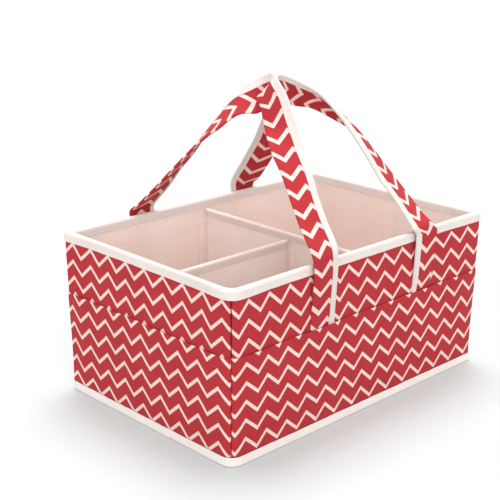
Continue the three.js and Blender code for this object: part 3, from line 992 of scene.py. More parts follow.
@dataclass
class SewnWall:
    """One wall: its outer canvas, its lining and the flat pocket over its lower part.

    Attributes:
        body: The body's plan.
        side: Which wall.
        leg_spans: Where strap tails lie behind the pocket.
        fastener_at: Middle of the wall's loop tape, if it has one.
        crease_at: Where the wall folds, if it does.
        mesh_step: Size of the mesh's squares.
        crowding: How much closer together the squares are near the seams.
        canvas: Thickness of the canvas.
        lining: Thickness of the lining.
        seam_dip: How far the corner seam draws the canvas in.
        seam_reach: How far from the seam that is felt.
        bulge: How far the canvas stands out in the wall's middle.
        uneven: Its unevenness there.
        fine: Its finer unevenness.
        foot_hold: Heights over which the foot tape lets go of it.
        seam_hold: Distances over which the corner seam lets go of it.
        rim_hold: Heights over which the rim takes hold of the cloth.
        wrinkles: The lining's wrinkles.
        fine_wrinkles: Its finer wrinkles.
        floor_hold: Heights over which the floor lets go of it.
        lining_seam_hold: Distances over which the corner seam lets go of it.
        fastener_hold: From the loop tape's middle, where the wrinkles start and are full.
        crease_depth: Depth of the lining's crease.
        crease_reach: How far from the fold the crease is felt.
        pocket_inset: The pocket's outer face where it lies tight.
        pocket_tight: Height up to which it lies tight.
        pocket_stand: How far its edge stands off.
        risen_share: The share of the way up to its full stand that lies under the edge.
        fold_radius: Radius of the pocket's folded edge.
        hem: How far the edge is turned in.
        leg_push: How far a strap's tail pushes the pocket out.
        push_reach: How far to its sides that is felt.
        push_from: Height from which it is felt.
        push_full: How far under the pocket's edge it is felt in full.
        edge_reach: How far down from its edge the pocket waves.
        edge_free: How far from a seam the edge is free to wave.
        edge_hold: The share of the canvas's unevenness that the hem takes away.
        edge_waves: How the edge waves out and in.
        edge_lifts: How it waves up and down.
        tuck: How far the cloth goes up into the rim tape's fold, from the top.
    """

    body: BodyPlan
    side: Side
    leg_spans: Sequence[Pair] = ()
    fastener_at: float | None = None
    crease_at: float | None = None
    mesh_step: float = 0.003
    crowding: float = 0.85
    canvas: float = 0.0008
    lining: float = 0.0006
    seam_dip: float = 0.0014
    seam_reach: float = 0.0011
    bulge: float = 0.0006
    uneven: Waves = Waves(0.0007, 0.07, 0.05)
    fine: Waves = Waves(0.0002, 0.018, 0.022, seed=9)
    foot_hold: Pair = (0.006, 0.04)
    seam_hold: Pair = (0.004, 0.03)
    rim_hold: Pair = (0.15, 0.172)
    wrinkles: Waves = Waves(0.0008, 0.055, 0.045, seed=20)
    fine_wrinkles: Waves = Waves(0.0002, 0.014, 0.04, seed=31)
    floor_hold: Pair = (0.004, 0.03)
    lining_seam_hold: Pair = (0.0, 0.02)
    fastener_hold: Pair = (0.012, 0.03)
    crease_depth: float = 0.0011
    crease_reach: float = 0.0017
    pocket_inset: float = 0.0009
    pocket_tight: float = 0.014
    pocket_stand: float = 0.0016
    risen_share: float = 0.9
    fold_radius: float = 0.00085
    hem: float = 0.012
    leg_push: float = 0.0013
    push_reach: float = 0.012
    push_from: float = 0.07
    push_full: float = 0.008
    edge_reach: float = 0.03
    edge_free: float = 0.022
    edge_hold: float = 0.4
    edge_waves: Sequence[Waves] = (Waves(0.0004, 0.012), Waves(0.0006, 0.04, seed=1))
    edge_lifts: Sequence[Waves] = (Waves(0.0009, 0.045, seed=2), Waves(0.0003, 0.01, seed=3))
    tuck: float = 0.0019

    def _seam(self, along: float) -> float:
        """1 at the corner seams, falling to 0 a little way from them."""
        gap = self.body.from_seam(self.side, along)
        return math.exp(-((gap / self.seam_reach) ** 2))

    def _columns(self) -> int:
        """How many mesh squares the wall has along it."""
        return round(self.body.length(self.side) / self.mesh_step)

    def _along(self, share: float) -> float:
        """The distance from the wall's middle at a share of its squares."""
        crowded = share - self.crowding * math.sin(math.tau * share) / math.tau
        return crowded * self.body.length(self.side) - self.body.run(self.side, -1)

    def _relief(self, along: float, height: float, seed: float) -> float:
        """How far the canvas stands out of its plane.

        Args:
            along: Distance from the wall's middle.
            height: Height over the floor.
            seed: Tells one panel's unevenness from another's.

        Returns:
            The distance outwards.
        """
        held = ease(height, *self.foot_hold) * (1 - ease(height, *self.rim_hold))
        held *= ease(self.body.from_seam(self.side, along), *self.seam_hold)
        uneven = self.uneven.at(seed, along, height) + self.fine.at(seed, along, height)
        lift = (self.bulge + uneven) * held
        return lift - self.seam_dip * self._seam(along)

    def _panel(self, name: str, low: float, high: float, inset: Surface) -> Piece:
        """A sheet that covers the wall from seam to seam.

        Args:
            name: The piece's name.
            low: Height of its lower edge.
            high: Height of its upper edge.
            inset: Gives the outer face's inset from the place along and the height.

        Returns:
            The sheet.
        """
        def place(share: float, up: float) -> Vector:
            """The point's place."""
            along = self._along(share)
            height = low + (high - low) * up
            return self.body.point(self.side, along, inset(along, height), height)

        def printed(share: float, up: float, _: float) -> Pair:
            """The point's place on the flat cloth."""
            return self._along(share), low + (high - low) * up

        rows = round((high - low) / self.mesh_step)
        return Bench.cloth(name, self._columns(), rows, place, printed)

    def _declare(self, piece: Piece, height: float, rests_on: str) -> None:
        """Attaches a panel to the body, so that it moves with it."""
        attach(piece, BODY)
        flat = (self.body.length(self.side), height)

    def _board(self) -> str:
        """The name of a board behind this wall's cloth."""
        label = f"{self.side.label}_wall_board"
        return label if self.side.is_long else f"{label}_front"

    def make_canvas(self) -> None:
        """Makes the outer canvas."""
        low = self.body.foot_top / 3
        high = self.body.height - self.tuck

        def inset(along: float, height: float) -> float:
            """The canvas's outer face."""
            return self.body.canvas_inset - self._relief(along, height, self.side.value)

        piece = self._panel(f"{self.side.label}_canvas_panel", low, high, inset)
        Bench.thicken(piece, self.canvas)
        finish = panel_print(self.body, self.side, Layer.CANVAS)
        dress(piece, finish, [f"{self.side.label}_wall_canvas"])
        self._declare(piece, high - low, self._board())

    def make_lining(self) -> None:
        """Makes the lining, which creases where the wall folds."""
        low = self.body.floor_top - self.lining
        high = self.body.height - self.tuck

        def inset(along: float, height: float) -> float:
            """The lining's outer face: wrinkled inwards, and flat behind the loop tape."""
            held = ease(height, *self.floor_hold) * (1 - ease(height, *self.rim_hold))
            held *= ease(self.body.from_seam(self.side, along), *self.lining_seam_hold)
            if self.fastener_at is not None:
                held *= ease(abs(along - self.fastener_at), *self.fastener_hold)
            wrinkle = self.wrinkles.size / 2 + self.wrinkles.at(self.side.value, along, height)
            wrinkle += self.fine_wrinkles.at(self.side.value, along, height)
            crease = 0.0
            if self.crease_at is not None:
                off = (along - self.crease_at) / self.crease_reach
                crease = self.crease_depth * math.exp(-(off**2))
            return self.body.lining_inset + held * max(wrinkle, 0.0) - crease

        piece = self._panel(f"{self.side.label}_lining_panel", low, high, inset)
        Bench.thicken(piece, self.lining)
        dress(piece, LINING, [f"{self.side.label}_lining"])
        self._declare(piece, high - low, self._board())

    def _pocket_push(self, along: float, height: float) -> float:
        """How far the strap tails behind it push the pocket out."""
        push = 0.0
        for low, high in self.leg_spans:
            over = ease(along, low - self.push_reach, low)
            push = max(push, over * (1 - ease(along, high, high + self.push_reach)))
        full_height = self.body.pocket_top - self.push_full
        return self.leg_push * push * ease(height, self.push_from, full_height)

    def make_pocket(self) -> None:
        """Makes the pocket: tight at its foot, standing off at its folded, hemmed edge."""
        body = self.body
        low = body.foot_top / 3
        top = body.pocket_top - self.fold_radius
        rows = round((top - self.pocket_tight) / self.mesh_step)
        outline = Outline(0, low).line(0, self.pocket_tight, 4).line(0, top, rows)
        outline.arc(self.fold_radius, top, -180, 6)
        outline.line(2 * self.fold_radius, top - self.hem, 4)
        seed = self.side.value + 50

        def place(share: float, up: float) -> Vector:
            """The point's place."""
            along = self._along(share)
            turned_in, height, _ = outline.at(up)
            near_edge = ease(height, top - self.edge_reach, top)
            free = ease(body.from_seam(self.side, along), 0.0, self.edge_free)
            risen = ease(height, self.pocket_tight, top + self.edge_reach) / self.risen_share
            waves = sum(wave.at(seed, along) for wave in self.edge_waves)
            out = (self.pocket_stand * risen + waves * near_edge) * free
            out += self._pocket_push(along, height)
            out += self._relief(along, height, seed) * (1 - self.edge_hold * near_edge)
            lift = sum(wave.at(seed, along) for wave in self.edge_lifts)
            inset = self.pocket_inset + turned_in - out
            return body.point(self.side, along, inset, height + lift * near_edge * free)

        def printed(share: float, up: float, _: float) -> Pair:
            """The point's place on the flat cloth."""
            return self._along(share), low + outline.at(up)[2]

        name = f"{self.side.label}_pocket_panel"
        piece = Bench.cloth(name, self._columns(), outline.rows, place, printed)
        Bench.thicken(piece, self.canvas)
        finish = panel_print(self.body, self.side, Layer.POCKET)
        dress(piece, finish, [f"{self.side.label}_pocket"])
        self._declare(piece, outline.length, f"{self.side.label}_canvas_panel")

    def make(self) -> None:
        """Makes the whole wall."""
        self.make_canvas()
        self.make_lining()
        self.make_pocket()


@dataclass
class BaseShell:
    """The cloth under and over the base board.

    Attributes:
        body: The body's plan.
        play: Between the foot tape and the canvas under the base.
        canvas: Thickness of the canvas under the base.
        lining: Thickness of the lining over it.
        inside_inset: Edge of the lining, in from the footprint.
        under: Height of the canvas's face over the floor.
        wrinkles: The lining's wrinkles, which only dip.
        wall_hold: Distances over which a wall lets go of the lining.
        mesh_step: Size of the mesh's squares.
    """

    body: BodyPlan
    play: float = 0.0003
    canvas: float = 0.0007
    lining: float = 0.0006
    inside_inset: float = 0.0061
    under: float = 0.0001
    wrinkles: Waves = Waves(0.0002, 0.06, 0.05, seed=70)
    wall_hold: Pair = (0.008, 0.04)
    mesh_step: float = 0.005

    def _plate(self, name: str, inset: float, level: Surface, below: bool) -> Piece:
        """A sheet that fills a rounded rectangle.

        Args:
            name: The piece's name.
            inset: Its edge, in from the footprint.
            level: Gives its height from the place along X and Y.
            below: Whether its face looks down.

        Returns:
            The sheet.
        """
        half_x = self.body.half_length - inset
        half_y = self.body.half_width - inset
        turned = -1 if below else 1

        def spot(share: float, up: float) -> Pair:
            """The place in plan, with the square's corners drawn in to the round ones."""
            x = (2 * share - 1) * half_x * turned
            y = (2 * up - 1) * half_y
            corner = self.body.relaxed_corner if x * y > 0 else self.body.pulled_corner
            radius = max(corner - inset, self.body.least_radius)
            over_x = abs(x) - (half_x - radius)
            over_y = abs(y) - (half_y - radius)
            if over_x <= 0 or over_y <= 0:
                return x, y
            a = over_x / radius
            b = over_y / radius
            round_x = half_x - radius + radius * a * math.sqrt(1 - b * b / 2)
            round_y = half_y - radius + radius * b * math.sqrt(1 - a * a / 2)
            return math.copysign(round_x, x), math.copysign(round_y, y)

        def place(share: float, up: float) -> Vector:
            """The point's place."""
            x, y = spot(share, up)
            return Vector((x, y, level(x, y)))

        def printed(share: float, up: float, _: float) -> Pair:
            """The point's place on the flat cloth."""
            return spot(share, up)

        columns = round(2 * half_x / self.mesh_step)
        rows = round(2 * half_y / self.mesh_step)
        return Bench.cloth(name, columns, rows, place, printed)

    def make(self) -> None:
        """Makes the canvas under the base and the lining over it."""
        under_inset = self.body.foot_lip + self.play
        under = self._plate("base_canvas_sheet", under_inset, lambda x, y: self.under, True)
        Bench.thicken(under, self.canvas)
        dress(under, ChevronPrint("chevron_base"), ["base_canvas"])
        self._declare(under, under_inset)

        def level(x: float, y: float) -> float:
            """The lining's face: soft wrinkles away from the walls."""
            held = ease(self.body.half_length - abs(x), *self.wall_hold)
            held *= ease(self.body.half_width - abs(y), *self.wall_hold)
            dip = self.wrinkles.size + self.wrinkles.at(0, x, y)
            return self.body.floor_top - dip * held

        over = self._plate("base_lining_sheet", self.inside_inset, level, False)
        Bench.thicken(over, self.lining)
        dress(over, LINING, ["base_lining"])
        self._declare(over, self.inside_inset)

    def _declare(self, piece: Piece, inset: float) -> None:
        """Attaches a plate of cloth to the body."""
        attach(piece, BODY)
        flat = (2 * (self.body.half_length - inset), 2 * (self.body.half_width - inset))


@dataclass
class EdgeTape:
    """Tape bound right round the body in one strip, whose last end laps over its first.

    Attributes:
        name: The piece's name.
        stands_for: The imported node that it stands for.
        body: The body's plan.
        section: Its outer face in section: inset, then height.
        joint: Where round the outline its ends meet.
        stitches: The rows of stitches: inset, height and whether they face inwards.
        free_height: The height at which its free edges waver most.
        finish: Its finish.
        waver: How its free edges waver.
        fine_waver: How they waver more finely.
        waver_reach: How far from them that is felt.
        drift: How it strays in and out.
        seam_in: From its edge to its stitches.
        thickness: Thickness of the tape.
        lap: How far the ends overlap.
        lap_rise: Over what length the last end rises over the first.
        mesh_step: Size of the mesh's squares along it.
    """

    name: str
    stands_for: str
    body: BodyPlan
    section: Outline
    joint: float
    stitches: Sequence[tuple[float, float, bool]]
    free_height: float
    finish: PlainCloth = TAPE
    waver: Waves = Waves(0.0004, 0.03)
    fine_waver: Waves = Waves(0.0002, 0.009, seed=3)
    waver_reach: float = 0.008
    drift: Waves = Waves(0.00025, 0.06, seed=5)
    seam_in: float = 0.0018
    thickness: float = 0.0006
    lap: float = 0.008
    lap_rise: float = 0.002
    mesh_step: float = 0.0012

    def _place(self, distance: float, inset: float, height: float, lifted: float = 0.0) -> Vector:
        """A place on the tape.

        Args:
            distance: How far round the outline.
            inset: How far behind the footprint's edge.
            height: Height over the floor.
            lifted: How far the tape is lifted off its place.

        Returns:
            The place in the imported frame.
        """
        near = 1 - ease(abs(height - self.free_height), 0.0, self.waver_reach)
        waver = self.waver.at(len(self.name), distance) + self.fine_waver.at(0, distance)
        drift = self.drift.at(len(self.name), distance)
        return self.body.round_point(distance, inset - lifted + drift, height + waver * near)

    def make(self) -> None:
        """Makes the tape and its stitches."""
        run = self.body.girth + self.lap
        columns = round(run / self.mesh_step)
        middle_inset = sum(point[0] for point in self.section.points) / (self.section.rows + 1)

        def place(share: float, up: float) -> Vector:
            """The point's place: the last end is lifted over the first."""
            travelled = share * run
            over = ease(travelled, run - self.lap - self.lap_rise, run - self.lap)
            inset, height, _ = self.section.at(up)
            lifted = math.copysign(self.thickness * over, middle_inset - inset)
            return self._place(self.joint + travelled, inset, height, lifted)

        def printed(share: float, up: float, _: float) -> Pair:
            """The point's place on the flat tape."""
            return share * run, self.section.at(up)[2]

        piece = Bench.cloth(self.name, columns, self.section.rows, place, printed)
        Bench.thicken(piece, self.thickness)
        dress(piece, self.finish, [self.stands_for])
        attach(piece, BODY)
        flat = (self.section.length, run)
        paths = []
        behind = 0.001
        for inset, height, inwards in self.stitches:
            path = []
            for index in range(columns + 1):
                distance = index / columns * self.body.girth
                here = self._place(distance, inset, height)
                out = here - self._place(distance, inset + behind, height)
                path.append((here, -out if inwards else out))
            paths.append(path)
        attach(Stitching().sew(self.name, paths), BODY)

    @classmethod
    def round_rim(cls, body: BodyPlan) -> "EdgeTape":
        """The tape folded over the rim.

        Args:
            body: The body's plan.

        Returns:
            The rim's tape.
        """
        outer = body.rim_inset
        inner = 0.0067
        radius = (inner - outer) / 2
        bend = body.height - radius
        section = Outline(outer, body.rim_low).line(outer, bend, 4)
        section.arc(outer + radius, bend, -180, 10).line(inner, body.rim_low, 4)
        seam_height = body.rim_low + cls.seam_in
        stitches = [(outer, seam_height, False), (inner, seam_height, True)]
        joint_along = -0.03
        joint = body.distance_to(Side.BACK, joint_along)
        return cls("rim_tape", "rim_binding", body, section, joint, stitches, body.rim_low)

    @classmethod
    def round_foot(cls, body: BodyPlan) -> "EdgeTape":
        """The tape round the foot of the walls.

        Args:
            body: The body's plan.

        Returns:
            The foot's tape.
        """
        radius = 0.0016
        section = Outline(body.foot_lip, 0).line(radius, 0, 3).arc(radius, radius, -90, 5)
        section.line(0, body.foot_top, 5)
        joint_along = 0.027
        joint = body.distance_to(Side.LEFT, joint_along)
        stitches = [(0, body.foot_top - cls.seam_in, False)]
        top = body.foot_top
        # The foot takes the copy of the cream tape painted lighter against the shade by the floor.
        return cls("foot_tape", "base_binding", body, section, joint, stitches, top, FOOT_TAPE_PAINTED_LIGHTER)


@dataclass
class Divider:
    """A lift-out divider: a sewn sleeve round a board, with tape over its open edge.

    Attributes:
        name: The divider's and its body's name.
        along_y: Whether it runs along Y.
        cloth: Thickness of the sleeve's cloth.
        board_half: Half the board's thickness, with its play.
        tape: Thickness of the tape.
        play: Between the sleeve and the tape.
        cover_gap: From the sleeve's edges up to the tape's fold.
        seam_in: From the tape's edge to its stitches.
        tape_short: How much shorter the tape is at each end.
        sewn_end: How far from its ends the sleeve is pinched.
        slack: How the cloth stands off the board.
        fine_slack: How it does so more finely.
        end_hold: Distances over which the end's seam lets go of the cloth.
        tape_hold: How far under the tape its seam takes hold of the cloth.
        waver: How the tape's edges waver.
        waver_reach: How far from them that is felt.
        pinch: The share of its thickness that the tape loses at its ends.
        pinch_reach: How far from them that is felt.
        mesh_step: Size of the mesh's squares.
        start: Where it starts along its run.
        end: Where it ends.
        middle: Its middle plane.
        bottom: Height of its foot.
        top: Height of its tape's fold.
        tape_low: Height of its tape's edges.
    """

    name: str
    along_y: bool
    cloth: float = 0.0006
    board_half: float = 0.0015
    tape: float = 0.0006
    play: float = 0.0002
    cover_gap: float = 0.0016
    seam_in: float = 0.0016
    tape_short: float = 0.001
    sewn_end: float = 0.0045
    slack: Waves = Waves(0.0004, 0.05, 0.04)
    fine_slack: Waves = Waves(0.00015, 0.013, 0.03, seed=3)
    end_hold: Pair = (0.004, 0.02)
    tape_hold: float = 0.02
    waver: Waves = Waves(0.0004, 0.03, seed=110)
    waver_reach: float = 0.006
    pinch: float = 0.3
    pinch_reach: float = 0.004
    mesh_step: float = 0.0035
    start: float = field(init=False)
    end: float = field(init=False)
    middle: float = field(init=False)
    bottom: float = field(init=False)
    top: float = field(init=False)
    tape_low: float = field(init=False)

    def __post_init__(self) -> None:
        """Reads the divider's place from its packed cover and tape."""
        low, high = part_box(f"{self.name}_cover")
        tape_low, tape_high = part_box(f"{self.name}_binding")
        run, across = (1, 0) if self.along_y else (0, 1)
        self.start = low[run]
        self.end = high[run]
        self.middle = (low[across] + high[across]) / 2
        self.bottom = low.z
        self.top = tape_high.z
        self.tape_low = tape_low.z

    def _point(self, along: float, off: float, height: float) -> Vector:
        """A place on the divider from its distance along, its offset and its height."""
        if self.along_y:
            return Vector((self.middle - off, along, height))
        return Vector((along, self.middle + off, height))

    def _half(self, along: float, height: float, seed: float) -> float:
        """Half the sleeve's thickness: pinched at its sewn ends, a little slack between."""
        from_end = min(along - self.start, self.end - along)
        full = self.board_half + self.cloth
        pinched = self.cloth + self.play / 2
        slack = self.slack.size / 2 + self.slack.at(seed, along, height)
        slack += self.fine_slack.at(seed, along, height)
        held = 1 - ease(height, self.tape_low - self.tape_hold, self.tape_low)
        held *= ease(from_end, *self.end_hold)
        half = pinched + (full - pinched) * ease(from_end, 0.0, self.sewn_end)
        return half + max(slack, 0) * held

    def make(self) -> None:
        """Makes the sleeve, its tape and the tape's stitches."""
        self._make_sleeve()
        self._make_tape()

    def _make_sleeve(self) -> None:
        """Makes the sleeve, folded at its foot."""
        seed = 90.0 if self.along_y else 97.0
        full = self.board_half + self.cloth
        bend = self.bottom + full
        high = self.top - self.cover_gap
        rows = round((high - bend) / self.mesh_step)
        outline = Outline(high, 1).line(bend, 1, rows).round_over(-full, 6)
        outline.line(high, -1, rows)

        def place(share: float, up: float) -> Vector:
            """The point's place."""
            along = self.start + (self.end - self.start) * share
            height, off, _ = outline.at(up)
            return self._point(along, off * self._half(along, height, seed + off), height)

        def printed(share: float, up: float, _: float) -> Pair:
            """The point's place on the flat cloth."""
            height, off, _ = outline.at(up)
            return (self.end - self.start) * share, height * math.copysign(1, off)

        columns = round((self.end - self.start) / self.mesh_step)
        piece = Bench.cloth(f"{self.name}_sleeve", columns, outline.rows, place, printed)
        Bench.thicken(piece, self.cloth)
        dress(piece, SLEEVE, [f"{self.name}_cover"])
        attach(piece, self.name)

    def _make_tape(self) -> None:
        """Makes the tape over the open edge and sews it down."""
        start = self.start + self.tape_short
        end = self.end - self.tape_short
        half = self.board_half + self.cloth + self.play + self.tape
        bend = self.top - half
        outline = Outline(-half, self.tape_low).line(-half, bend, 3)
        outline.arc(0, bend, -180, 8).line(half, self.tape_low, 3)
        columns = round((end - start) / self.mesh_step)

        def shifted(along: float, off: float, height: float) -> Vector:
            """A place on the tape, whose lower edges waver."""
            near = 1 - ease(height - self.tape_low, 0.0, self.waver_reach)
            waver = self.waver.at(100 * off, along) * near
            from_end = min(along - start, end - along)
            pinch = 1 - self.pinch * (1 - ease(from_end, 0.0, self.pinch_reach))
            return self._point(along, off * pinch, height + waver)

        def place(share: float, up: float) -> Vector:
            """The point's place."""
            off, height, _ = outline.at(up)
            return shifted(start + (end - start) * share, off, height)

        def printed(share: float, up: float, _: float) -> Pair:
            """The point's place on the flat tape."""
            return (end - start) * share, outline.at(up)[2]

        piece = Bench.cloth(f"{self.name}_tape", columns, outline.rows, place, printed)
        Bench.thicken(piece, self.tape)
        dress(piece, SLEEVE_TAPE, [f"{self.name}_binding"])
        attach(piece, self.name)
        flat = (outline.length, end - start)
        seam_height = self.tape_low + self.seam_in
        paths = []
        for off in (-half, half):
            out = self._point(0, math.copysign(1, off), 0) - self._point(0, 0, 0)
            stops = [start + (end - start) * step / columns for step in range(columns + 1)]
            paths.append([(shifted(stop, off, seam_height), out) for stop in stops])
        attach(Stitching().sew(self.name, paths), self.name)


@dataclass(frozen=True)
class StrapFrame:
    """One place along a strap.

    Attributes:
        edge: The bound edge.
        across: The direction from the bound edge to the folded one.
        face: The direction out of the strap's outer face.
        width: From the bound edge to the folded one.
        curl: How far the section turns from one edge to the other.
        fullness: 0 where it is pressed flat and 1 where it has its full thickness.
        travelled: Length along the strap's middle so far.
    """

    edge: Vector
    across: Vector
    face: Vector
    width: float
    curl: float
    fullness: float
    travelled: float


class LegShape(NamedTuple):
    """How a sewn leg runs from the hinge line down to its tail.

    Attributes:
        slant: How far its bound edge moves outwards.
        top: Its width at the hinge line.
        bottom: Its width at the tail.
    """

    slant: float
    top: float
    bottom: float


class PrintKnot(NamedTuple):
    """How the print lies at one place along a strap.

    Attributes:
        travelled: The place.
        tip: From the folded edge to a tip that points to the start.
        creep: How far the print has been drawn along the strap.
    """

    travelled: float
    tip: float
    creep: float


def print_at(knots: Sequence[PrintKnot], travelled: float) -> Pair:
    """How a strap's print lies at a place: a tip's distance from the fold, and the creep."""
    for before, after in zip(knots, knots[1:]):
        if before.travelled <= travelled < after.travelled:
            share = (travelled - before.travelled) / (after.travelled - before.travelled)
            tip = before.tip + (after.tip - before.tip) * share
            return tip, before.creep + (after.creep - before.creep) * share
    nearest = knots[0] if travelled < knots[0].travelled else knots[-1]
    return nearest.tip, nearest.creep


def smooth_path(points: Sequence[Vector], steps: int) -> list[Vector]:
    """A centripetal Catmull-Rom curve through points.

    Args:
        points: The points.
        steps: How many steps lie between two points.

    Returns:
        The places on the curve, from the first point to the last.
    """
    least_span = 1e-7
    padded = [2 * points[0] - points[1], *points, 2 * points[-1] - points[-2]]
    places = []
    for before, start, end, after in zip(padded, padded[1:], padded[2:], padded[3:]):
        pairs = ((before, start), (start, end), (end, after))
        spans = [math.sqrt(max((far - near).length, least_span)) for near, far in pairs]
        leave = (start - before) / spans[0] - (end - before) / (spans[0] + spans[1])
        leave = (leave + (end - start) / spans[1]) * spans[1]
        arrive = (end - start) / spans[1] - (after - start) / (spans[1] + spans[2])
        arrive = (arrive + (after - end) / spans[2]) * spans[1]
        for step in range(steps):
            share = step / steps
            square = share * share * (-3 * start + 3 * end - 2 * leave - arrive)
            cube = share**3 * (2 * start - 2 * end + leave + arrive)
            places.append(start + leave * share + square + cube)
    return [*places, points[-1].copy()]


STRAIGHT_LEG = LegShape(slant=0.0, top=0.035, bottom=0.035)

# The loops' places and the lie of their prints, measured in the photo and rounded.
FRONT_LOOP_SHARES = (
    (-1, 1, 0, -1, 0, 0),
    (-1, 1, 0.05, -1, 0.04, 0),
    (-0.99, 0.98, 0.1, -0.99, 0.12, 0.01),
    (-0.93, 0.85, 0.22, -0.98, 0.18, 0.06),
    (-0.86, 0.73, 0.35, -0.97, 0.22, 0.07),
    (-0.78, 0.62, 0.48, -0.96, 0.31, 0.03),
    (-0.72, 0.5, 0.61, -0.9, 0.4, -0.05),
    (-0.69, 0.4, 0.77, -0.42, 0.83, -0.37),
    (-0.64, 0.29, 0.905, -0.25, 0.85, -0.465),
    (-0.56, 0.15, 0.996, -0.12, 0.72, -0.69),
    (-0.23, 0.06, 0.993, 0.24, 0.38, -0.89),
    (0.15, 0.1, 0.931, 0.27, 0.49, -0.83),
    (0.37, 0.21, 0.86, 0.36, 0.71, -0.61),
    (0.49, 0.36, 0.74, 0.59, 0.72, -0.36),
    (0.61, 0.48, 0.61, 0.82, 0.56, -0.1),
    (0.72, 0.59, 0.48, 0.87, 0.48, -0.01),
    (0.82, 0.695, 0.34, 0.92, 0.36, 0.04),
    (0.92, 0.82, 0.22, 0.94, 0.29, -0.01),
    (0.96, 0.95, 0.1, 0.98, 0.17, -0.02),
    (0.98, 1, 0.05, 1, 0.04, 0),
    (1.09, 1, 0, 1, 0, 0),
)
BACK_LOOP_SHARES = (
    (-1, 1, 0, -1, 0, 0),
    (-1, 1.01, 0.05, -0.99, 0.12, -0.03),
    (-1, 0.99, 0.1, -0.96, 0.28, -0.11),
    (-0.96, 0.87, 0.22, -0.93, 0.36, -0.14),
    (-0.9, 0.745, 0.34, -0.93, 0.38, -0.13),
    (-0.84, 0.625, 0.46, -0.9, 0.44, -0.18),
    (-0.82, 0.53, 0.6, -0.8, 0.54, -0.26),
    (-0.83, 0.45, 0.74, -0.43, 0.62, -0.65),
    (-0.76, 0.36, 0.86, -0.07, 0.64, -0.77),
    (-0.45, 0.25, 0.952, 0.11, 0.45, -0.89),
    (-0.1, 0.17, 0.97, 0.16, 0.28, -0.95),
    (0.23, 0.2, 0.925, 0.16, 0.56, -0.81),
    (0.38, 0.32, 0.835, 0.48, 0.79, -0.38),
    (0.52, 0.41, 0.71, 0.66, 0.72, -0.22),
    (0.64, 0.505, 0.58, 0.8, 0.6, -0.05),
    (0.75, 0.6, 0.45, 0.87, 0.49, 0.02),
    (0.86, 0.715, 0.33, 0.9, 0.41, 0),
    (0.94, 0.825, 0.2, 0.95, 0.26, 0),
    (0.99, 0.95, 0.09, 0.99, 0.14, -0.03),
    (1, 1, 0.04, 1, 0.04, 0),
    (1, 1, 0, 1, 0, 0),
)
FRONT_CURLS = {11: 20, 12: 60, 13: 90, 14: 65, 15: 35, 16: 15}
FRONT_OUTER_PRINT = (
    PrintKnot(0.025, 0.0088, 0.0),
    PrintKnot(0.065, 0.0098, 0.0),
    PrintKnot(0.084, 0.0076, 0.0),
    PrintKnot(0.105, 0.0076, 0.0),
    PrintKnot(0.165, 0.0091, 0.0022),
    PrintKnot(0.207, 0.0104, 0.0045),
    PrintKnot(0.251, 0.0107, 0.009),
    PrintKnot(0.415, 0.0015, 0.0032),
    PrintKnot(0.5, 0.004, 0.005),
    PrintKnot(0.58, 0.003, 0.0065),
)
BACK_INNER_PRINT = (
    PrintKnot(0.104, 0.0156, 0.0006),
    PrintKnot(0.127, 0.0156, 0.0036),
    PrintKnot(0.15, 0.0156, 0.0064),
)


